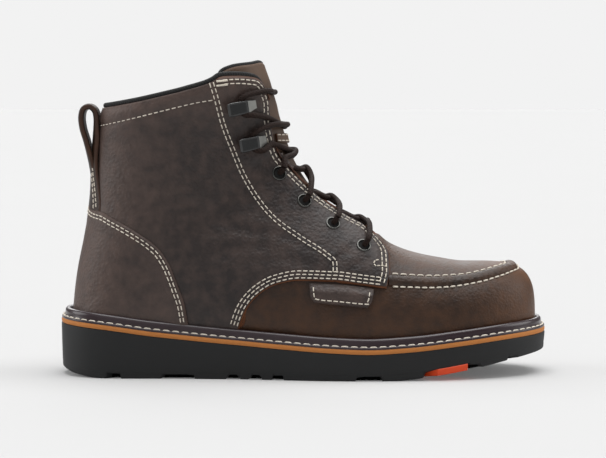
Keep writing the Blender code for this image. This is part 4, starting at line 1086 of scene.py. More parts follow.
class BOOT_OT_sole(bpy.types.Operator):
    """Outsole with its tread, coloured insert and midsole."""

    bl_idname = "boot.sole"
    bl_label = "Sole"

    def execute(self, context):
        x = tread_stations()

        def low(at):
            return tread(at) + groove_rise(at)

        band = raised(tread, INSERT_RISE)
        top = raised(deck, -MIDSOLE_THICK - 0.05)
        levels = (
            (16.0, tread),
            (15.5, low),
            (1.2, low),
            (0.8, raised(low, 0.4)),
            (0.65, lambda at: np.maximum(low(at) + 1.0, tread(at) + 1.4)),
            (0.6, lambda at: np.maximum(low(at) + 1.6, band(at) - 0.05)),
            (0.5, lambda at: np.maximum(low(at) + 1.7, band(at))),
            (0.2, lambda at: 0.5 * (band(at) + top(at) - 1.0)),
            (0.0, raised(top, -1.0)),
            (0.15, raised(top, -0.3)),
            (0.6, top),
        )
        # Core behind the grooves, so that no light comes through under the tread; its darker, glossless
        # rubber is painted shade.
        core = (
            (CORE_INSET + 0.3, raised(tread, 0.25)),
            (CORE_INSET, raised(tread, 0.3)),
            (CORE_INSET, raised(band, 0.7)),
            (CORE_INSET + 0.3, raised(band, 0.75)),
        )
        parts = (
            ("tread_sole", levels, 5, "moulded_black_rubber", ["outsole"]),
            ("tread_core", core, 4, "shaded_tread_rubber", []),
        )
        for name, rings, notched, look, nodes in parts:
            points = sole_levels(rings, x)
            outer = points[:notched, :len(x)]
            inside = (outer[..., 0] > INSERT_FROM) & (outer[..., 0] < INSERT_TO)
            outer[..., 1] += np.where(inside, INSERT_NOTCH, 0.0)
            faces = sole_faces(len(rings), len(x))
            new_piece(name, points, faces, [look], nodes, sharp=32.0)
        # Edge of the midsole: inset, share of the thickness below its top, rise.
        edge = ((1.0, 1.0, 0.0), (0.35, 1.0, 0.15), (0.1, 0.75, 0.0), (0.0, 0.5, 0.0), (0.1, 0.25, 0.0),
                (0.35, 0.0, -0.05), (1.0, 0.0, 0.0))
        levels = [(inset, raised(deck, rise - share * MIDSOLE_THICK)) for inset, share, rise in edge]
        thin = round_stations(220)
        new_piece(
            "midsole_edge", sole_levels(levels, thin), sole_faces(len(levels), len(thin)),
            ["sanded_midsole_rubber"], ["midsole"], sharp=50.0,
        )
        self.make_insert()
        return {"FINISHED"}

    def make_insert(self):
        """Block let into the tread's outer edge: sections along x, each a rounded four-sided ring."""
        x = np.concatenate((
            np.linspace(INSERT_FROM, INSERT_BEND, 10),
            np.linspace(INSERT_BEND + 0.6, INSERT_TO - 0.3, 24),
        ))
        turned = np.clip((INSERT_BEND - x) / (INSERT_BEND - INSERT_FROM), 0.0, 1.0)
        edge = column(x, CENTRE) - half_width(x, 0.0) - 0.3 + (INSERT_NOTCH - 0.4) * turned
        low = tread(x) - 0.1
        high = low + INSERT_RISE
        inner = np.full_like(x, edge.max() + INSERT_INSET)
        corners = (
            (edge + 0.25, high), (edge, high - 0.3), (edge + 0.5, low + 2.0), (edge + 1.4, low + 0.4),
            (edge + 2.2, low), (inner, low), (inner, high),
        )
        ring = np.stack([np.column_stack((x, *corner)) for corner in corners], axis=1)
        new_piece(
            "tread_insert", ring, capped(len(x), len(corners)), ["moulded_orange_rubber"],
            ["outsole_insert"], sharp=20.0,
        )


# Section of the welt: inset from the outline, height above the midsole.
WELT_PROFILE = (
    (0.25, 0.05), (0.25, 0.8), (0.4, 1.25), (0.8, 1.45), (1.8, 1.45), (2.2, 1.5), (2.45, 2.1), (2.35, 3.9),
    (2.65, 5.3), (3.3, 6.2), (4.2, 6.6), (5.2, 6.4), (5.9, 5.6), (6.2, 4.4), (6.3, 2.8),
    (12.0, 2.8), (12.0, 0.05),
)
WELT_GAUGE = (4.6, 5.9, 0.95)


class BOOT_OT_welt(bpy.types.Operator):
    """Storm welt with its bead and the lockstitch that holds the sole."""

    bl_idname = "boot.welt"
    bl_label = "Welt"

    def execute(self, context):
        x = round_stations(240)
        levels = [(inset, raised(deck, height)) for inset, height in WELT_PROFILE]
        rings = sole_levels(levels, x).transpose(1, 0, 2)
        new_piece(
            "storm_welt", rings, [ring_quads(len(rings), len(WELT_PROFILE), joined=True)],
            ["waxed_welt_leather"], ["welt"],
        )
        path = sole_levels([(1.2, raised(deck, 1.6))], x)[0]
        path = np.concatenate((path, path[:1]))
        threads = Threads()
        threads.add(path, np.tile((0.0, 0.0, 1.0), (len(path), 1)), *WELT_GAUGE)
        threads.piece("welt_stitches")
        return {"FINISHED"}


def throat_half(sigma):
    """Half of the throat gap at a station."""
    return column(90.0 * np.minimum(sigma, 1.0), THROAT)


def upper_places():
    """Stations and section angles of the whole upper: shaft from the collar, instep, then vamp to the toe."""
    shaft = np.linspace(0.0, 1.0, 40)
    instep = np.linspace(SHAFT_FOOT, INSTEP_FOOT, 70)[1:]
    vamp = 1.0 - (1.0 - np.linspace(0.01, 1.0, 110)) ** 2.6
    fixed = np.concatenate((instep, 1.0 + vamp))
    around = np.linspace(0.0, 1.0, 76)
    low = low_angle(fixed)
    high = np.where(fixed <= 1.0, angle_at_width(fixed, throat_half(fixed) + THROAT_SETBACK), 90.0)
    theta = low[:, None] + (high - low)[:, None] * around[None, :]
    sigma = np.repeat(fixed[:, None], len(around), axis=1)
    mouth = angle_at_width(SHAFT_FOOT, throat_half(SHAFT_FOOT) + THROAT_SETBACK)
    top_theta = np.repeat((-90.0 + (mouth + 90.0) * around)[None, :], len(shaft), axis=0)
    rim = mouth_station(top_theta[0], mouth, 14.0)
    top_sigma = rim[None, :] + (SHAFT_FOOT - rim)[None, :] * shaft[:, None]
    return np.stack((np.concatenate((top_sigma, sigma)), np.concatenate((top_theta, theta))), axis=-1)


class BOOT_OT_vamp(bpy.types.Operator):
    """Hollow upper: lasted leather outside, knitted lining inside."""

    bl_idname = "boot.vamp"
    bl_label = "Vamp And Lining"

    def execute(self, context):
        places = upper_places()
        spots = on_last(places, -1.0)
        x, z = spots[..., 0], spots[..., 2]
        relief = (crease_relief(spots) + slack_relief(spots)) * smooth((TOE_TIP - 1.0 - x) / 12.0)
        # Lighter towards the toe and low down; the top of the vamp is lightened too, as a painted highlight.
        toe = smooth((x - 98.0) / 50.0)
        low = smooth((52.0 - z) / 26.0)
        top_highlight = smooth((places[..., 1] - 45.0) / 25.0) * smooth((x - 40.0) / 15.0)
        wear = 0.18 + 0.5 * toe + 0.18 * low + 0.25 * top_highlight
        points, faces, values = two_sided(places, relief, {"wear": wear})
        looks = ["lasted_oiled_leather", "knitted_lining", "cut_leather_edge"]
        item = new_piece(
            "vamp", points, faces, looks, ["upper"], values=values, tidy="weld",
        )
        thicken(item, WALL, 1, 2)
        return {"FINISHED"}


def bead_edge(start, end, count):
    """Side-view line just under the top of the welt bead."""
    x = np.linspace(start, end, count)
    return np.column_stack((x, deck(x) + BEAD_CLEAR - 2.5))


def collar_edge(start, end, count):
    """Collar edge between two section angles."""
    theta = np.linspace(start, end, count)
    return np.column_stack((collar_station(theta), theta))


def mouth_edge(start, count):
    """Mouth edge from a section angle forwards and round the corner to the throat."""
    bend = np.sin(np.linspace(0.0, 0.5 * math.pi, count))
    corner = MOUTH_FRONT - CORNER_WIDTH + CORNER_WIDTH * bend
    theta = np.concatenate((np.linspace(start, corner[0], count)[:-1], corner))
    return np.column_stack((mouth_station(theta), theta))


def back_edge(low, high, count, angle=-90.0):
    """Line up the back between two heights."""
    z = np.linspace(low, high, count)
    x = through(-z, -BACK[:, 1], BACK[:, 0]) - 1.0
    return np.column_stack((station_of(x, z), np.full(count, angle)))


def throat_edge():
    """Front edge of the eyestay from its nose up to the collar, as stations and angles."""
    top = float(mouth_station(np.array(MOUTH_FRONT)))
    angle = np.linspace(86.0, 90.0 * top, 24)
    throat = np.column_stack((angle / 90.0, angle_at_width(angle / 90.0, column(angle, THROAT))))
    throat[-1] = (top, MOUTH_FRONT)
    return np.concatenate((locate(STAY_NOSE), throat))


def stay_outline():
    """Free edge of the eyestay: from its nose up the throat, round the corner and back along the collar."""
    return np.concatenate((throat_edge(), mouth_edge(STAY_CORNER, 10)[-2::-1]))


def collar_corner(theta):
    """Point of the collar edge at one section angle, as a line of one place."""
    return [(float(collar_station(theta)), theta)]


def seam_line():
    """Stitched seam of eyestay and quarter, from the wing up to the collar, as stations and angles."""
    return np.concatenate((locate(STAY_SEAM), collar_corner(STAY_CORNER)))


def counter_line():
    """Edge of the heel counter from the welt up to the back, as stations and angles."""
    line = locate(np.concatenate((COUNTER_FRONT, COUNTER_TOP[1:])))
    line[-1, 1] = -90.0
    return line


def wing_line():
    """Lower edge of quarter and eyestay, from the welt to the nose, as stations and angles."""
    return locate(np.concatenate((WING_EDGE, WING_FRONT[1:])))


def edge_drop(gap, drop, width):
    """Fall of a panel's face towards its edge."""
    return -drop * (1.0 - smooth(gap / width))


def trough(gap, inset, depth=0.16, width=0.8):
    """Shallow channel that a stitch row pulls into the leather."""
    return -depth * np.exp(-((gap - inset) / width) ** 2)


WING_ROWS = (1.8, 3.9, 6.0)
WING_BEVEL = 1.2
SEAM_ROWS = (-1.15, 1.15)
THROAT_ROWS = (2.4, 4.9)
COUNTER_ROWS = (2.1, 4.1)
TAG_ROW = 2.3
TAG_CORNERS = np.array([(4.2, 51.6), (41.6, 48.4)])
LAP_WAY = np.array((0.84, 0.54))
STAY_STEPS = np.linspace(0.0, 1.0, 260)


def tag_face(flat):
    """Height of the side tag's face, which dives under the wing along its upper edge."""
    under = distance_to(flat, resample(locate(TAG_UPPER), FINE))
    return TAG_TOP_FACE - 2.0 * smooth((5.0 - under) / 5.0)


class BOOT_OT_panels(bpy.types.Operator):
    """Quarters, eyestays, heel counter and side tag over the upper."""

    bl_idname = "boot.panels"
    bl_label = "Panels"

    def execute(self, context):
        self.wing = resample(wing_line(), FINE)
        self.seam = resample(seam_line(), FINE)
        self.throat = resample(stay_outline(), STAY_STEPS)
        self.counter = resample(counter_line(), FINE)
        self.band = resample(locate(COLLAR_STITCH), FINE)
        self.collar = resample(collar_edge(-88.0, STAY_CORNER, 40), FINE)
        self.make_quarters()
        self.make_eyestays()
        self.make_counter()
        self.make_tag()
        return {"FINISHED"}

    def wing_shape(self, flat):
        """Bevel and stitch channels along the wing edge."""
        gap = distance_to(flat, self.wing)
        drop = edge_drop(gap, 1.7, WING_BEVEL) + sum(trough(gap, inset) for inset in WING_ROWS)
        return drop, smooth((WING_BEVEL - gap) / 0.6)

    def wear(self, spots):
        """Lighter places of shaft and quarter: collar and back."""
        rim = smooth((spots[..., 2] - 152.0) / 30.0)
        back = smooth((-66.0 - spots[..., 0]) / 64.0)
        return 0.02 + 0.34 * rim + 0.40 * back

    def leather(self, word, patches, top, shape):
        """Panel on both sides: patches of flat grids welded on each side, and given a wall."""
        for side, part in zip(SIDES, SIDE_WORDS):
            points, faces, wear, raw = [], [], [], []
            for flat in patches:
                places = places_of(flat)
                spots = on_last(places, side)
                drop, cut = shape(flat)
                quads = grid_quads(*flat.shape[:2], sum(map(len, points)))
                faces.append(quads if side < 0.0 else quads[:, ::-1])
                grow = top + drop + crease_relief(spots) + slack_relief(spots)
                points.append(on_last(places, side, grow).reshape(-1, 3))
                wear.append(self.wear(spots).ravel())
                raw.append(cut.ravel())
            item = new_piece(
                f"{word}_{part}_leather", np.concatenate(points), faces, PANEL_LOOKS,
                [f"{word}_{part}"], {"wear": np.concatenate(wear), "raw": np.concatenate(raw)},
                tidy="weld",
            )
            thicken(item, PANEL_THICK, 0, 1)

    def make_quarters(self):
        """Quarters as two patches: below and above a line from the counter's bend to the seam."""
        a = np.linspace(0.0, 1.0, 90)
        b_low = a ** 1.5
        b_high = np.linspace(0.0, 1.0, 70)
        lap = 2.5 * LAP_WAY
        under = -np.array((2.4, 3.2))
        rim_end = STAY_CORNER + 3.0
        seam_low = resample(locate(STAY_SEAM[:6]), b_low) + lap
        seam_high = resample(np.concatenate((locate(STAY_SEAM[5:]), collar_corner(rim_end))), b_high)
        seam_high = seam_high + lap * (1.0 - b_high)[:, None]
        rear_low = resample(locate(np.concatenate((COUNTER_FRONT, COUNTER_TOP[1:2])) + under), b_low)
        foot = np.concatenate((COUNTER_FRONT[:1] + under, bead_edge(-66.0, -43.0, 5), WING_EDGE))
        low = resample(locate(foot), a)
        low[-1] = seam_low[0]
        fork = rear_low[-1]
        divide = fork + a[:, None] * (seam_low[-1] - fork)
        patch_low = blend_patch(low, divide, rear_low, seam_low, a, b_low)
        back = back_edge(100.0, 168.0, 6, BACK_SEAM)
        back[-1] = collar_corner(BACK_SEAM)[0]
        heel = np.concatenate((back[:1], locate(COUNTER_TOP[-2:0:-1] + under)))
        foot = np.concatenate((resample(heel, np.linspace(0.0, 1.0, 50)), divide[1:]))
        a_high = np.linspace(0.0, 1.0, len(foot))
        rim = resample(collar_edge(BACK_SEAM, rim_end, 24), a_high)
        patch_high = blend_patch(foot, rim, resample(back, b_high), seam_high, a_high, b_high)
        self.leather("quarter", (patch_low, patch_high), QUARTER_TOP, self.quarter_shape)

    def quarter_shape(self, flat):
        """Quarter: wing bevel, a dip along the collar stitching and soft padding above it."""
        drop, raw = self.wing_shape(flat)
        band = distance_to(flat, self.band)
        rim = distance_to(flat, self.collar)
        x = flat[..., 0]
        above = np.interp(x, self.band[:, 0], self.band[:, 1]) < flat[..., 1]
        clear = smooth((distance_to(flat, self.seam) - 3.0) / 12.0)
        pad = np.where(above, np.minimum(1.1, 1.1 * np.sqrt(np.minimum(band, rim) / 8.0)), 0.0) * clear
        ripple = 0.16 * pad * np.sin(x / 2.1 + 1.6 * np.sin(x / 9.0))
        return drop + trough(band, 0.0, 0.35, 1.6) + (pad + ripple) * smooth(rim / 4.0), raw

    def make_eyestays(self):
        """Eyestays as one patch, with more rows near the wing."""
        a = even_ends(60)
        b = np.concatenate((0.12 * np.linspace(0.0, 1.0, 26) ** 1.3, np.linspace(0.12, 1.0, 110)[1:]))
        rear = resample(seam_line(), b) - 2.4 * LAP_WAY * np.minimum(1.0, b / 0.06)[:, None]
        front = resample(throat_edge(), b)
        low = resample(locate(WING_FRONT), a)
        high = resample(mouth_edge(STAY_CORNER, 12), a)
        rear[-1] = high[0]
        low[-1] = front[0]
        self.stay_rear = rear
        self.leather("eyestay", (blend_patch(low, high, rear, front, a, b),), STAY_TOP, self.stay_shape)

    def stay_shape(self, flat):
        """Eyestay: rounded edges all round, wing bevel, stitch channels at throat and rear seam."""
        drop, raw = self.wing_shape(flat)
        front = distance_to(flat, self.throat)
        drop = drop + edge_drop(front, 0.9, 1.1) + edge_drop(distance_to(flat, self.stay_rear), 0.6, 0.9)
        drop = drop + sum(trough(front, inset) for inset in THROAT_ROWS)
        drop = drop + trough(distance_to(flat, self.seam), abs(SEAM_ROWS[0]), 0.14, 0.7)
        return drop, np.maximum(raw, 0.5 * smooth((0.7 - front) / 0.5))

    def make_counter(self):
        """Heel counter round both sides as one sheet, its face lifted along the stitched edge."""
        a = np.linspace(0.0, 1.0, 80)
        b = 1.0 - (1.0 - np.linspace(0.0, 1.0, 70)) ** 1.5
        foot = locate(bead_edge(-142.5, -70.5, 14))
        top = locate(COUNTER_TOP)[::-1]
        foot[0, 1] = top[0, 1] = -90.0
        back = back_edge(40.0, 104.0, 6)
        back[0] = foot[0]
        back[-1] = top[0]
        front = resample(locate(COUNTER_FRONT), b)
        low = resample(foot, a)
        low[-1] = front[0]
        patch = blend_patch(low, resample(top, a), resample(back, b), front, a, b)
        places = places_of(patch)
        places[0, :, 1] = -90.0
        spots = on_last(places, -1.0)
        gap = distance_to(patch, self.counter)
        drop = edge_drop(gap, 0.8, 1.2) + sum(trough(gap, inset) for inset in COUNTER_ROWS)
        lip = 0.7 * smooth((14.0 - gap) / 12.0) - 0.5
        back_wear = 0.30 * smooth((-100.0 - spots[..., 0]) / 44.0)
        wear = 0.24 + back_wear + 0.12 * smooth((60.0 - spots[..., 2]) / 26.0)
        marks = {"wear": wear, "raw": 0.1 * smooth((1.0 - gap) / 0.8)}
        points, faces, values = two_sided(places, COUNTER_LIFT + lip + drop + slack_relief(spots), marks)
        item = new_piece(
            "heel_counter_leather", points, faces, DARK_RIM_LOOKS, ["heel_counter"],
            values=values, tidy="weld",
        )
        thicken(item, COUNTER_LIFT - 0.4, 0, 1)

    def make_tag(self):
        """Side tag on the outer side, with a stitch channel along its free edges."""
        a = even_ends(40)
        b = even_ends(24)
        rear, front = (
            resample(locate(np.array([TAG_LOWER[k], TAG_CORNERS[k], TAG_UPPER[k]])), b) for k in (0, -1)
        )
        low = resample(locate(TAG_LOWER), a)
        patch = blend_patch(low, resample(locate(TAG_UPPER), a), rear, front, a, b)
        gap = distance_to(patch, np.concatenate((rear[::-1], low, front)))
        grow = tag_face(patch) + edge_drop(gap, 0.9, 0.8) + trough(gap, TAG_ROW, 0.25)
        item = new_piece(
            "side_tag_leather", on_last(places_of(patch), -1.0, grow), [grid_quads(*patch.shape[:2])],
            DARK_RIM_LOOKS, ["side_tag"], {"wear": np.full_like(gap, 0.2)},
            tidy=None, sharp=30.0,
        )
        thicken(item, TAG_TOP_FACE - 0.6, 0, 1)


class BOOT_OT_stitching(bpy.types.Operator):
    """Cream stitch rows of the panels."""

    bl_idname = "boot.stitching"
    bl_label = "Stitching"

    def execute(self, context):
        gauge = panel_gauge(context)
        threads = Threads()
        stay = STAY_TOP - 0.05
        wing = resample(wing_line(), FINE)
        for inset in WING_ROWS:
            row = offset_line(wing, inset)[2:-5]
            on_stay = smooth((row[:, 0] - 17.0) / 3.0)
            threads.on_form(row, SIDES, QUARTER_TOP - 0.1 + (STAY_TOP - QUARTER_TOP) * on_stay, *gauge)
        free = resample(stay_outline(), STAY_STEPS)
        for inset in THROAT_ROWS:
            threads.on_form(offset_line(free, inset)[3:-9], SIDES, stay, *gauge)
        # Bars of close stitches at the rear upper corner.
        for level in CORNER_BARS:
            bar = resample(locate(np.array([(-54.6, level - 0.3), (-48.4, level + 0.3)])), FINE)
            threads.on_form(bar, SIDES, stay + 0.1, 1.6, 0.9, 1.2)
        seam = resample(seam_line(), FINE)
        for inset in SEAM_ROWS:
            threads.on_form(offset_line(seam, inset)[5:], SIDES, stay, *gauge)
        counter = resample(counter_line(), FINE)
        for inset in COUNTER_ROWS:
            threads.on_form(offset_line(counter, inset)[2:-1], SIDES, COUNTER_LIFT + 0.1, *gauge)
        threads.on_form(resample(locate(COLLAR_STITCH), FINE), SIDES, QUARTER_TOP - 0.25, *gauge)
        threads.on_form(resample(locate(NOSE_TACK), FINE), SIDES, stay, 2.0, 2.6, gauge[2])
        corners = [TAG_UPPER[:1], TAG_CORNERS[:1], TAG_LOWER, TAG_CORNERS[1:], TAG_UPPER[-1:]]
        tag = offset_line(resample(locate(np.concatenate(corners)), FINE), TAG_ROW)[5:-5]
        threads.on_form(tag, (-1.0,), tag_face(tag) - 0.1, *gauge)
        threads.piece("panel_stitches")
        return {"FINISHED"}


def moc_path(count):
    """Line of the raised toe seam from one side round to the other: points and outward normals."""
    run = np.linspace(0.0, 1.0, count)
    x = MOC_LINE[0, 0] + (MOC_LINE[-1, 0] - MOC_LINE[0, 0]) * np.sin(0.5 * math.pi * run)
    line = locate(np.column_stack((x, column(x, MOC_LINE))))
    line[-1, 1] = 90.0
    normals = []
    for side in SIDES:
        theta = np.minimum(line[:, 1], 88.0)
        forward = form(line[:, 0] + 0.004, theta, side) - form(line[:, 0] - 0.004, theta, side)
        inward = form(line[:, 0], theta + 0.5, side) - form(line[:, 0], theta - 0.5, side)
        normals.append(-side * np.cross(forward, inward))
    normal = joined(*normals)
    normal[count - 1, 1] = 0.0
    return joined(*(on_last(line, side) for side in SIDES)), unit(normal)


def drape(points, lift):
    """Points over the vamp let down onto it, a little above its surface."""
    sigma = station_of(points[:, 0], points[:, 2])
    offset = points[:, 1] - centre_line(points[:, 0], points[:, 2])
    return form(sigma, angle_at_width(sigma, np.abs(offset)), np.sign(offset), lift)


class BOOT_OT_moc_seam(bpy.types.Operator):
    """Raised, hand-sewn seam round the toe with its two stitch rows."""

    bl_idname = "boot.moc_seam"
    bl_label = "Moc Seam"

    def execute(self, context):
        sizes = context.scene.boot_sizes
        half = 0.5 * sizes.moc_width / MM
        high = sizes.moc_height / MM
        path, normal = moc_path(120)
        path = smooth_path(path, 360)
        at = np.linspace(0.0, len(normal) - 1.0, len(path))
        normal = np.column_stack([np.interp(at, np.arange(len(normal)), part) for part in normal.T])
        across = np.linspace(-1.0, 1.0, 17)
        dome = (1.0 - np.abs(across) ** 2.6) ** 0.55
        pucker = 0.06 * np.sin(2.0 * math.pi * run_along(path) / 5.0)[:, None]
        up = high * (dome[None, :] * (1.0 + pucker) - 0.12)
        profile = np.column_stack((half * across, np.zeros_like(across)))
        base = sweep(path, normal, profile[None])
        base = drape(base.reshape(-1, 3), 0.0).reshape(base.shape)
        foot = base[:, (-2, 1)] - 1.4 * normal[:, None, :]
        points = np.concatenate((base + up[..., None] * normal[:, None, :], foot), axis=1)
        wear = 0.12 + 0.35 * smooth((points[..., 0] - 105.0) / 35.0)
        new_piece(
            "moc_ridge", points, capped(*points.shape[:2]), ["lasted_oiled_leather"],
            ["moc_seam"], values={"wear": wear},
        )
        threads = Threads()
        aside = sweep(path, normal, np.array([[1.0, 0.0]]))[:, 0] - path
        for way, out, length, pitch in ((-1.0, 0.9, 4.2, 5.4), (1.0, 0.3, 3.4, 4.6)):
            row = drape(path + way * (half + out) * aside, 0.5)
            threads.add(row[4:-4], (normal + 0.5 * way * aside)[4:-4], length, pitch, 1.0)
        threads.piece("moc_stitches")
        return {"FINISHED"}


def tongue_set(z):
    """Distance by which the top of the tongue leans back from the throat, by height."""
    return 1.7 * smooth((z - 144.0) / 26.0)


def level_station(height, offset):
    """Station of the instep at a height above the floor, at a distance from the centre line."""
    sigma = np.linspace(0.0, 1.0, 160)
    level = form(sigma, angle_at_width(sigma, np.array(offset)), 1.0)[:, 2]
    return np.interp(-height, -level, sigma)


def tube_uv(path, around):
    """Map of a tube: length along it in millimetres and share of a turn round it."""
    turns = np.linspace(0.0, 1.0, around, endpoint=False)
    return np.stack(np.meshgrid(run_along(path), turns, indexing="ij"), axis=-1).reshape(-1, 2)


def edge_tube(name, path, radius, fade, replaces=()):
    """Round black edging along a path, tapered at both ends over a share of its length."""
    share = np.linspace(0.0, 1.0, len(path))
    taper = 0.35 + 0.65 * smooth(share / fade) * smooth((1.0 - share) / fade)
    ring = circle(12)
    up = np.tile((0.0, 0.0, 1.0), (len(path), 1))
    points = sweep(path, up, radius * taper[:, None, None] * ring[None])
    new_piece(
        name, points, capped(len(path), len(ring)), ["ribbed_binding"], replaces,
        uv=tube_uv(path, len(ring)), sharp=40.0,
    )


class BOOT_OT_tongue(bpy.types.Operator):
    """Tongue with its black edge and the tab that holds the lace."""

    bl_idname = "boot.tongue"
    bl_label = "Tongue"

    def execute(self, context):
        fall = np.linspace(0.0, 1.0, 110) ** 1.2
        round_half = np.linspace(0.0, 1.0, 40)
        first = TONGUE_TOP[0, 0]
        start = first + (float(column(90.0 * TONGUE_FOOT, TONGUE_SIDE)) - first) * fall
        theta = start[:, None] + (90.0 - start)[:, None] * round_half[None, :]
        top = (column(first + (90.0 - first) * round_half, TONGUE_TOP) + 0.4) / 90.0
        sigma = top[None, :] + (TONGUE_FOOT - top)[None, :] * fall[:, None]
        depth = TONGUE_OUTER - TONGUE_SINK * fall[:, None] + 0.0 * theta
        spots = form(sigma, theta, -1.0, depth)
        z = spots[..., 2]
        depth = depth - tongue_set(z) * np.sin(np.radians(theta)) ** 2
        drop = -1.1 * (1.0 - smooth(fall / 0.012))[:, None]
        swell = 0.2 * np.sin(z / 6.5) * smooth((z - 150.0) / 20.0)
        depth = depth + drop + swell + slack_relief(spots)
        whole = joined(*(form(sigma, theta, side, depth) for side in SIDES), axis=1)
        wear = 0.25 + 0.5 * smooth((whole[..., 2] - 178.0) / 14.0)
        item = new_piece(
            "tongue_leather", whole, [grid_quads(*whole.shape[:2])],
            ["soft_tongue_leather", "knitted_lining", "knitted_lining"],
            ["tongue"], values={"wear": wear}, tidy=None,
        )
        thicken(item, TONGUE_THICK, 1, 2)
        height = depth[0] + 0.9 - 0.5 * TONGUE_THICK
        path = joined(*(form(sigma[0], theta[0], side, height) for side in SIDES))
        path[:, 2] -= 0.4
        edge_tube("tongue_edge", smooth_path(path, 160), 1.45, 0.04)
        self.make_keeper(context)
        return {"FINISHED"}

    def make_keeper(self, context):
        """Leather tab across the tongue with a stitch row along each edge."""
        tall = np.linspace(KEEPER_TOP, KEEPER_FOOT, 22)
        offset = np.linspace(KEEPER_HALF, 0.0, 24)
        sigma = np.column_stack([level_station(tall, wide) for wide in offset])
        theta = np.column_stack([angle_at_width(sigma[:, k], wide) for k, wide in enumerate(offset)])
        share = np.linspace(0.0, 1.0, len(tall))[:, None]
        edge = np.minimum(share, 1.0 - share)
        grow = KEEPER_FACE - 0.5 * (1.0 - smooth(edge / 0.14)) + 0.0 * theta
        whole, above = (
            joined(*(form(sigma, theta, side, grow + lift) for side in SIDES), axis=1) for lift in (0.0, 1.0)
        )
        item = new_piece(
            "keeper_tab", whole, [grid_quads(*whole.shape[:2])], ["soft_tongue_leather", "cut_leather_edge"],
            ["lace_keeper"], values={"wear": np.full(whole.shape[:2], 0.5)}, tidy=None,
        )
        thicken(item, 1.3, 0, 1)
        threads = Threads()
        for row in (4, -5):
            threads.add(whole[row], above[row] - whole[row], *panel_gauge(context))
        threads.piece("keeper_stitches")


class BOOT_OT_collar(bpy.types.Operator):
    """Black binding round the collar."""

    bl_idname = "boot.collar"
    bl_label = "Collar Binding"

    def execute(self, context):
        theta = np.concatenate((np.linspace(-90.0, 42.0, 80), np.linspace(43.0, 54.6, 24)))
        bend = smooth((theta - 38.0) / 16.0)[:, None]
        lift = (1.0 - bend) * np.array((0.0, 0.0, 1.1)) + bend * np.array((0.5, 0.0, 0.3))
        near, far = (form(mouth_station(theta), theta, side, -0.1) + lift for side in SIDES)
        path = np.concatenate((near[::-1], far[1:]))
        edge_tube("collar_tape", smooth_path(path, 320), 1.8, 0.05, ["collar_binding"])
        return {"FINISHED"}


class BOOT_OT_insole(bpy.types.Operator):
    """Footbed inside the boot."""

    bl_idname = "boot.insole"
    bl_label = "Insole"

    def execute(self, context):
        x = round_stations(120)
        share = np.linspace(0.0, 1.0, 14)
        insets = INSOLE_INSET + 24.0 * share ** 1.3
        rises = INSOLE_TOP + 1.6 * round_end(share, 1.6) - 0.6
        levels = [(INSOLE_INSET, raised(deck, UPPER_FOOT))]
        levels += [(inset, raised(deck, rise)) for inset, rise in zip(insets, rises)]
        new_piece(
            "footbed", sole_levels(levels, x), sole_faces(len(levels), len(x)), ["brushed_insole"],
            ["insole"],
        )
        return {"FINISHED"}


def frame_at(place, side, grow):
    """Point on the form with its outward direction, for a fitting."""
    sigma, theta = place
    ahead = form(sigma + 1e-3, theta, side, grow) - form(sigma - 1e-3, theta, side, grow)
    around = form(sigma, theta + 0.2, side, grow) - form(sigma, theta - 0.2, side, grow)
    normal = unit(np.cross(ahead, around))
    return form(sigma, theta, side, grow), normal * np.sign(normal[1] * side)


def set_on(points, spot, ahead, normal):
    """Fitting's own points, X ahead and Z outwards, moved onto the form."""
    ahead = unit(ahead - normal * (ahead @ normal))
    return spot + points @ np.stack((ahead, np.cross(normal, ahead), normal))


# Turned section of an eyelet: radius, height above the leather.
EYELET_PROFILE = np.array([
    (4.6, -0.4), (4.6, 0.15), (4.4, 0.5), (4.05, 0.62), (3.7, 0.55), (3.35, 0.45), (3.1, 0.2), (3.05, -0.3),
])
# Dark disc that closes the eyelet's hole, painted shade: radius, height above the leather.
EYELET_DISC = np.array([(3.1, -0.3), (3.1, 0.12)])
EYELET_AHEAD = np.array((1.0, 0.0, 0.3))

# Side view of a hook that opens to the rear: along, height above the eyestay, half width.
HOOK_PROFILE = np.array([
    (-6.0, 0.2, 3.4),
    (11.0, 0.2, 2.6),
    (11.0, 1.1, 2.6),
    (4.2, 6.2, 3.9),
    (-6.6, 6.2, 4.1),
    (-9.2, 6.7, 3.7),
    (-9.2, 5.7, 3.7),
    (-6.6, 5.2, 4.1),
    (3.6, 5.2, 3.9),
    (8.8, 1.2, 2.9),
    (-6.0, 1.2, 3.4),
])
# Thin plates on a hook's tab and neck: ends as along, half width, height, then rise and finish.
HOOK_PLATES = {
    "plate": ((-7.6, 3.2, 6.1), (2.9, 3.0, 6.1), (0.0, 0.0, 0.3), "moulded_black_rubber"),
    "neck": ((4.4, 3.6, 6.0), (10.8, 2.4, 1.3), (0.2, 0.0, 0.2), "plated_steel"),
}
HOOK_TILT = math.radians(9.0)
HOOK_AHEAD = np.array((math.cos(HOOK_TILT), 0.0, math.sin(HOOK_TILT)))
HOOK_UPWARD = np.array((-math.sin(HOOK_TILT), 0.0, math.cos(HOOK_TILT)))
HOOK_SLOT = 3.2


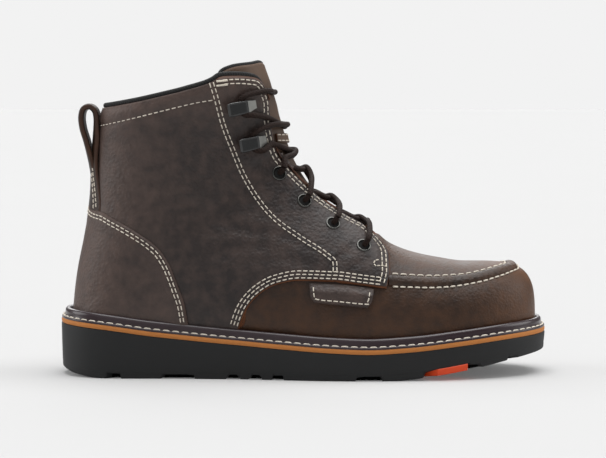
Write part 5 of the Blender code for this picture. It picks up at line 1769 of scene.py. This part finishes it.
class BOOT_OT_fittings(bpy.types.Operator):
    """Eyelets and lace hooks."""

    bl_idname = "boot.fittings"
    bl_label = "Eyelets And Hooks"

    def execute(self, context):
        for side, word in zip(SIDES, SIDE_WORDS):
            for number, place in enumerate(locate(EYELETS), start=1):
                self.make_eyelet(f"eyelet_{word}_{number}", *frame_at(place, side, STAY_TOP))
            for number, place in enumerate(locate(HOOKS), start=1):
                self.make_hook(f"hook_{word}_{number}", *frame_at(place, side, STAY_TOP))
        return {"FINISHED"}

    def make_eyelet(self, node, spot, normal):
        """Rolled ring: the section turned round the eyelet's axis, with shade in its hole."""
        ring = circle(40)

        def turned(profile):
            wide = profile[None, :, :1] * ring[:, None, :]
            tall = np.broadcast_to(profile[None, :, 1:], (len(ring), len(profile), 1))
            return set_on(np.concatenate((wide, tall), axis=-1).reshape(-1, 3), spot, EYELET_AHEAD, normal)

        rim = turned(EYELET_PROFILE)
        faces = [ring_quads(len(ring), len(EYELET_PROFILE), joined=True)]
        looks = ["blackened_steel"]
        new_piece(f"{node}_ring", rim, faces, looks, [node])
        disc = turned(EYELET_DISC).reshape(len(ring), 2, 3).transpose(1, 0, 2)
        new_piece(f"{node}_hole", disc, capped(2, len(ring)), ["eyelet_shade"], sharp=40.0)

    def make_hook(self, node, spot, normal):
        """Bent strip: the side view carried from rim to rim, with thin plates on its tab and neck."""
        rims = [HOOK_PROFILE[:, (0, 2, 1)] * np.array((1.0, way, 1.0)) for way in SIDES]
        strip = new_piece(
            f"{node}_strip", set_on(np.concatenate(rims), spot, HOOK_AHEAD, normal),
            capped(2, len(HOOK_PROFILE)), ["black_lacquer"], [node], sharp=30.0,
        )
        bevel = strip.modifiers.new("Rims", "BEVEL")
        bevel.width = 0.4 * MM
        bevel.segments = 2
        bevel.limit_method = "ANGLE"
        for word, (rear, front, rise, look) in HOOK_PLATES.items():
            ends = np.array((rear, front))
            corner = np.concatenate((ends * (1.0, -1.0, 1.0), ends[::-1]))
            body = np.concatenate((corner, corner + rise))
            new_piece(
                f"{node}_{word}", set_on(body, spot, HOOK_AHEAD, normal), capped(2, 4), [look],
                sharp=30.0,
            )


STRAP_HALF = 9.6
STRAP_FLARE = 10.6


class BOOT_OT_pull_loop(bpy.types.Operator):
    """Leather pull loop sewn to the back of the shaft."""

    bl_idname = "boot.pull_loop"
    bl_label = "Pull Loop"

    def execute(self, context):
        path = smooth_path(np.insert(PULL_LOOP, 1, 0.0, axis=1), 170)
        share = np.linspace(0.0, 1.0, len(path))
        half = STRAP_HALF + STRAP_FLARE * smooth((142.0 - path[:, 2]) / 50.0) * (share < 0.5)
        thick = 0.85 + 1.05 * smooth((share - 0.1) / 0.3) - 1.3 * smooth((share - 0.84) / 0.16)
        across, up = circle(36).T
        across = np.sign(across) * np.abs(across) ** 0.35
        up = np.sign(up) * np.abs(up) ** 0.5
        profile = np.stack((thick[:, None] * up[None, :], half[:, None] * across[None, :]), axis=-1)
        points = sweep(path, np.tile((0.0, 1.0, 0.0), (len(path), 1)), profile)
        hug = 1.0 - 0.75 * smooth((share - 0.42) / 0.1) * smooth((0.96 - share) / 0.16)
        points += hug[:, None, None] * self.wrap(points)
        raw = np.repeat(0.2 * smooth((np.abs(across) - 0.93) / 0.07)[None, :], len(path), axis=0)
        new_piece(
            "pull_strap", points, capped(*points.shape[:2]), ["lasted_oiled_leather"],
            ["pull_loop"], values={"wear": np.zeros_like(raw), "raw": raw},
        )
        threads = Threads()
        sewn = slice(12, 54)
        for inset in (2.3, 4.7):
            for way in SIDES:
                row = path[sewn] + np.column_stack((-thick - 0.05, way * (half - inset), 0.0 * thick))[sewn]
                row = row + self.wrap(row)
                threads.add(row, np.tile((-1.0, 0.35 * way, 0.2), (len(row), 1)), 2.7, 3.5, 0.78)
        threads.piece("pull_strap_stitches")
        return {"FINISHED"}

    def wrap(self, points):
        """Shift that lays points behind the boot onto its round back, by their distance to the side."""
        sigma = station_of(points[..., 0], points[..., 2])
        x0, z0, x1, z1, wide, widest, back = section(sigma, 2.0)[:7]
        share = np.clip(np.abs(points[..., 1]) / wide, 0.0, 1.0)
        place = widest * (1.0 - (1.0 - share ** back) ** (1.0 / back))
        return np.stack(((x1 - x0) * place, 0.0 * place, (z1 - z0) * place), axis=-1)


LACE_OVER = 0.4
LACE_TONGUE = 0.4
# Heights of a strand's five points on its way up to a hook, as shares of the rise.
HOOK_TO_HOOK = (0.42, 0.50, 0.53, 0.58, 0.66)
EYELET_TO_HOOK = (0.32, 0.58, 0.74, 0.80, 0.82)
# Steps of a strand out of an eyelet: outwards, forwards and up; the last one also clears the lace.
EYELET_STEPS = ((-1.5, 0.5), (0.8, 0.8), (0.9, 2.4))
# Steps under a hook's tab: ahead, up.
HOOK_LEAVE = ((0.2, 0.0), (0.4, 4.2), (4.0, 6.6))
HOOK_ARRIVE = ((6.5, -5.6), (1.6, -4.4), (0.2, 0.0))


def lace_point(sigma, offset, side, grow):
    """Point of the lace from its station, distance from the centre line, side and height over the form."""
    return form(sigma, float(angle_at_width(np.array(sigma), np.array(offset))), side, grow)


def level_point(height, offset, side, grow):
    """Point of the lace from its height above the floor in place of its station."""
    return lace_point(level_station(height, offset), offset, side, grow - tongue_set(height))


class BOOT_OT_laces(bpy.types.Operator):
    """Round lace through the eyelets and round the hooks."""

    bl_idname = "boot.laces"
    bl_label = "Laces"

    def execute(self, context):
        self.radius = 0.5 * context.scene.boot_sizes.lace / MM
        self.over = STAY_TOP + self.radius + LACE_OVER
        places = [(place, False) for place in locate(EYELETS)]
        places += [(place, True) for place in locate(HOOKS)]
        cords = [self.under_bar(places[0][0])]
        for low, high in zip(places, places[1:]):
            cords += [self.crossing(low, high, side, lift) for side, lift in ((-1.0, 1.9), (1.0, -0.1))]
        cords.append(self.top_bar(places[-1]))
        ring = circle(12, self.radius)
        points, faces, uv = [], [], []
        for route in cords:
            path = smooth_path(route, 72)
            body = sweep(path, np.tile((0.35, 0.1, 1.0), (len(path), 1)), ring[None])
            faces += capped(len(path), len(ring), sum(map(len, points)))
            points.append(body.reshape(-1, 3))
            uv.append(tube_uv(path, len(ring)))
        new_piece(
            "lace_cord", np.concatenate(points), faces, ["braided_lace"], ["lace"],
            uv=np.concatenate(uv),
        )
        return {"FINISHED"}

    def under_bar(self, place):
        """Lowest bar, from under one eyestay across the tongue to the other."""
        sigma = place[0] + 0.02
        edge = float(throat_half(sigma))
        rest = TONGUE_OUTER - TONGUE_SINK + self.radius + LACE_TONGUE
        steps = ((1.35, -1.0), (1.0, rest + 0.6), (0.6, rest), (0.0, rest))
        near, far = ([lace_point(sigma, part * edge, side, grow) for part, grow in steps] for side in SIDES)
        return near + far[-2::-1]

    def crossing(self, low, high, side, lift):
        """One strand from a fitting, out over its own edge, across the tongue and under the other edge."""
        (sigma, _), hooked = low
        (sigma_next, _), hook_next = high
        edge, edge_next = (float(throat_half(at)) for at in (sigma, sigma_next))
        start, end = (frame_at(place, side, STAY_TOP)[0][2] for place, _ in (low, high))
        rest = TONGUE_OUTER - 0.5 * TONGUE_SINK + self.radius + LACE_TONGUE
        route = self.leave(low, side)
        if hook_next:
            spots = (
                (edge + 0.5, side, self.over),
                (0.5 * edge, side, rest + lift + 0.6),
                (0.0, side, rest + lift - 0.2),
                (0.5 * edge_next, -side, rest + 0.6),
                (edge_next + 1.0, -side, self.over),
            )
            shares = HOOK_TO_HOOK if hooked else EYELET_TO_HOOK
            route += [level_point(start + share * (end - start), *spot) for share, spot in zip(shares, spots)]
            return route + self.hook_route(high[0], -side, HOOK_ARRIVE)
        # The lower the strand, the later it climbs.
        climb = smooth((start - 84.0) / 28.0)
        step = sigma_next - sigma
        middle = sigma + (0.15 + 0.27 * climb) * step
        rise = sigma_next - middle
        spots = (
            (sigma + (0.18 * climb - 0.15) * step, edge + 0.5, side, self.over + 0.7),
            (sigma + (0.22 * climb - 0.05) * step, 0.45 * edge, side, rest + lift + 2.4),
            (middle, 0.0, side, rest + lift + 1.2),
            (middle + 0.25 * rise, 0.5 * edge_next, -side, rest + 0.8),
            (sigma_next - 0.15 * rise, edge_next - 0.5, -side, -0.2),
            (sigma_next, edge_next + 4.0, -side, -1.6),
        )
        return route + [lace_point(*spot) for spot in spots]

    def leave(self, fitting, side):
        """Start of a strand: up out of an eyelet, or from behind a hook's neck."""
        place, hooked = fitting
        if hooked:
            return self.hook_route(place, side, HOOK_LEAVE)
        spot, normal = frame_at(place, side, STAY_TOP)
        clear = (0.0, 0.0, self.radius)
        climb = np.array((1.0, 0.0, 1.0))
        steps = zip(EYELET_STEPS, clear)
        return [spot + (out + more) * normal + along * climb for (out, along), more in steps]

    def hook_route(self, place, side, steps):
        """Route points under a hook's tab, as steps ahead of the hook and up the boot."""
        spot, normal = frame_at(place, side, STAY_TOP)
        return [spot + HOOK_SLOT * normal + along * HOOK_AHEAD + up * HOOK_UPWARD for along, up in steps]

    def top_bar(self, fitting):
        """Highest bar, from hook to hook over the front of the tongue."""
        place = fitting[0]
        edge = float(throat_half(place[0]))
        rest = TONGUE_OUTER + self.radius + LACE_TONGUE + 0.3
        top = frame_at(place, 1.0, STAY_TOP)[0][2]
        steps = ((9.4, edge + 1.0, self.over), (10.4, 0.55 * edge, rest - 0.6), (10.8, 0.0, rest - 1.6))
        near, far = (
            self.leave(fitting, side) + [level_point(top + up, out, side, grow) for up, out, grow in steps]
            for side in SIDES
        )
        return near[:-1] + far[::-1]


class BOOT_OT_stage(bpy.types.Operator):
    """Plain pale floor, soft light from above and the photograph's camera."""

    bl_idname = "boot.stage"
    bl_label = "Stage"

    def execute(self, context):
        scene = context.scene
        bpy.ops.mesh.primitive_plane_add(size=60.0)
        floor = context.object
        floor.name = "floor"
        floor.data.materials.append(finish("matt_floor"))
        # Suns: name, direction the light comes from, strength, spread in degrees, whether it throws a shadow.
        suns = (
            ("overhead", (0.08, 0.02, 1.0), 2.9, 60.0, True),
            ("front", (-0.35, -1.0, 0.75), 0.28, 60.0, True),
            ("back", (-0.05, 0.85, 0.60), 1.35, 50.0, False),
            ("heel_rim", (-1.0, 0.10, 0.45), 0.9, 40.0, True),
            ("toe_rim", (1.0, 0.05, 0.50), 0.9, 40.0, True),
        )
        for name, source, strength, spread, shadow in suns:
            lamp = bpy.data.lights.new(name, "SUN")
            lamp.energy = strength
            lamp.angle = math.radians(spread)
            lamp.use_shadow = shadow
            item = bpy.data.objects.new(name, lamp)
            item.rotation_euler = turn_from(source)
            scene.collection.objects.link(item)
        world = bpy.data.worlds.new("studio")
        scene.world = world
        world.use_nodes = True
        tree = world.node_tree
        white = opaque(linear("F2F2F2"))
        shown = add_node(tree, "Background", {"Color": white, "Strength": 1.0})
        fill = add_node(tree, "Background", {"Color": white, "Strength": FILL_LIGHT})
        ray = add_node(tree, "LightPath", output="Is Camera Ray")
        mixed = add_node(tree, "MixShader", {0: ray, 1: fill, 2: shown})
        tree.links.new(mixed, tree.nodes["World Output"].inputs["Surface"])
        lens = bpy.data.cameras.new("camera")
        lens.lens = CAMERA_LENS
        lens.sensor_width = CAMERA_SENSOR
        lens.dof.use_dof = False
        lens.clip_end = 100.0
        camera = bpy.data.objects.new("camera", lens)
        camera.location = CAMERA_PLACE
        camera.rotation_euler = (math.radians(90.0 - CAMERA_DOWN), 0.0, 0.0)
        scene.collection.objects.link(camera)
        scene.camera = camera
        scene.view_settings.view_transform = "Standard"
        return {"FINISHED"}


def turn_from(source):
    """Rotation of a lamp that shines from the given direction."""
    x, y, z = source
    return (math.atan2(math.hypot(x, y), z), 0.0, math.atan2(y, x) + 0.5 * math.pi)


OPERATORS = (
    BOOT_OT_stage,
    BOOT_OT_sole,
    BOOT_OT_welt,
    BOOT_OT_insole,
    BOOT_OT_vamp,
    BOOT_OT_panels,
    BOOT_OT_moc_seam,
    BOOT_OT_stitching,
    BOOT_OT_tongue,
    BOOT_OT_collar,
    BOOT_OT_fittings,
    BOOT_OT_pull_loop,
    BOOT_OT_laces,
)


class BOOT_PT_panel(bpy.types.Panel):
    """Sizes, colours and makers of the boot's looks."""

    bl_idname = "BOOT_PT_panel"
    bl_label = "Work Boot"
    bl_space_type = "VIEW_3D"
    bl_region_type = "UI"
    bl_category = "Boot"

    def draw(self, context):
        for group in (context.scene.boot_sizes, context.scene.boot_colours):
            box = self.layout.box()
            for word in group.__annotations__:
                box.prop(group, word)
        for operator in OPERATORS:
            self.layout.operator(operator.bl_idname)


CLASSES = (BootSizes, BootColours, *OPERATORS, BOOT_PT_panel)


def register():
    """Register the classes and hang the settings on the scene."""
    for item in CLASSES:
        bpy.utils.register_class(item)
    bpy.types.Scene.boot_sizes = bpy.props.PointerProperty(type=BootSizes)
    bpy.types.Scene.boot_colours = bpy.props.PointerProperty(type=BootColours)


def unregister():
    """Remove the settings and the classes."""
    del bpy.types.Scene.boot_colours
    del bpy.types.Scene.boot_sizes
    for item in reversed(CLASSES):
        bpy.utils.unregister_class(item)


def main():
    """Make every piece."""
    register()
    for operator in OPERATORS:
        group, word = operator.bl_idname.split(".")
        getattr(getattr(bpy.ops, group), word)()


if __name__ == "__main__":
    main()
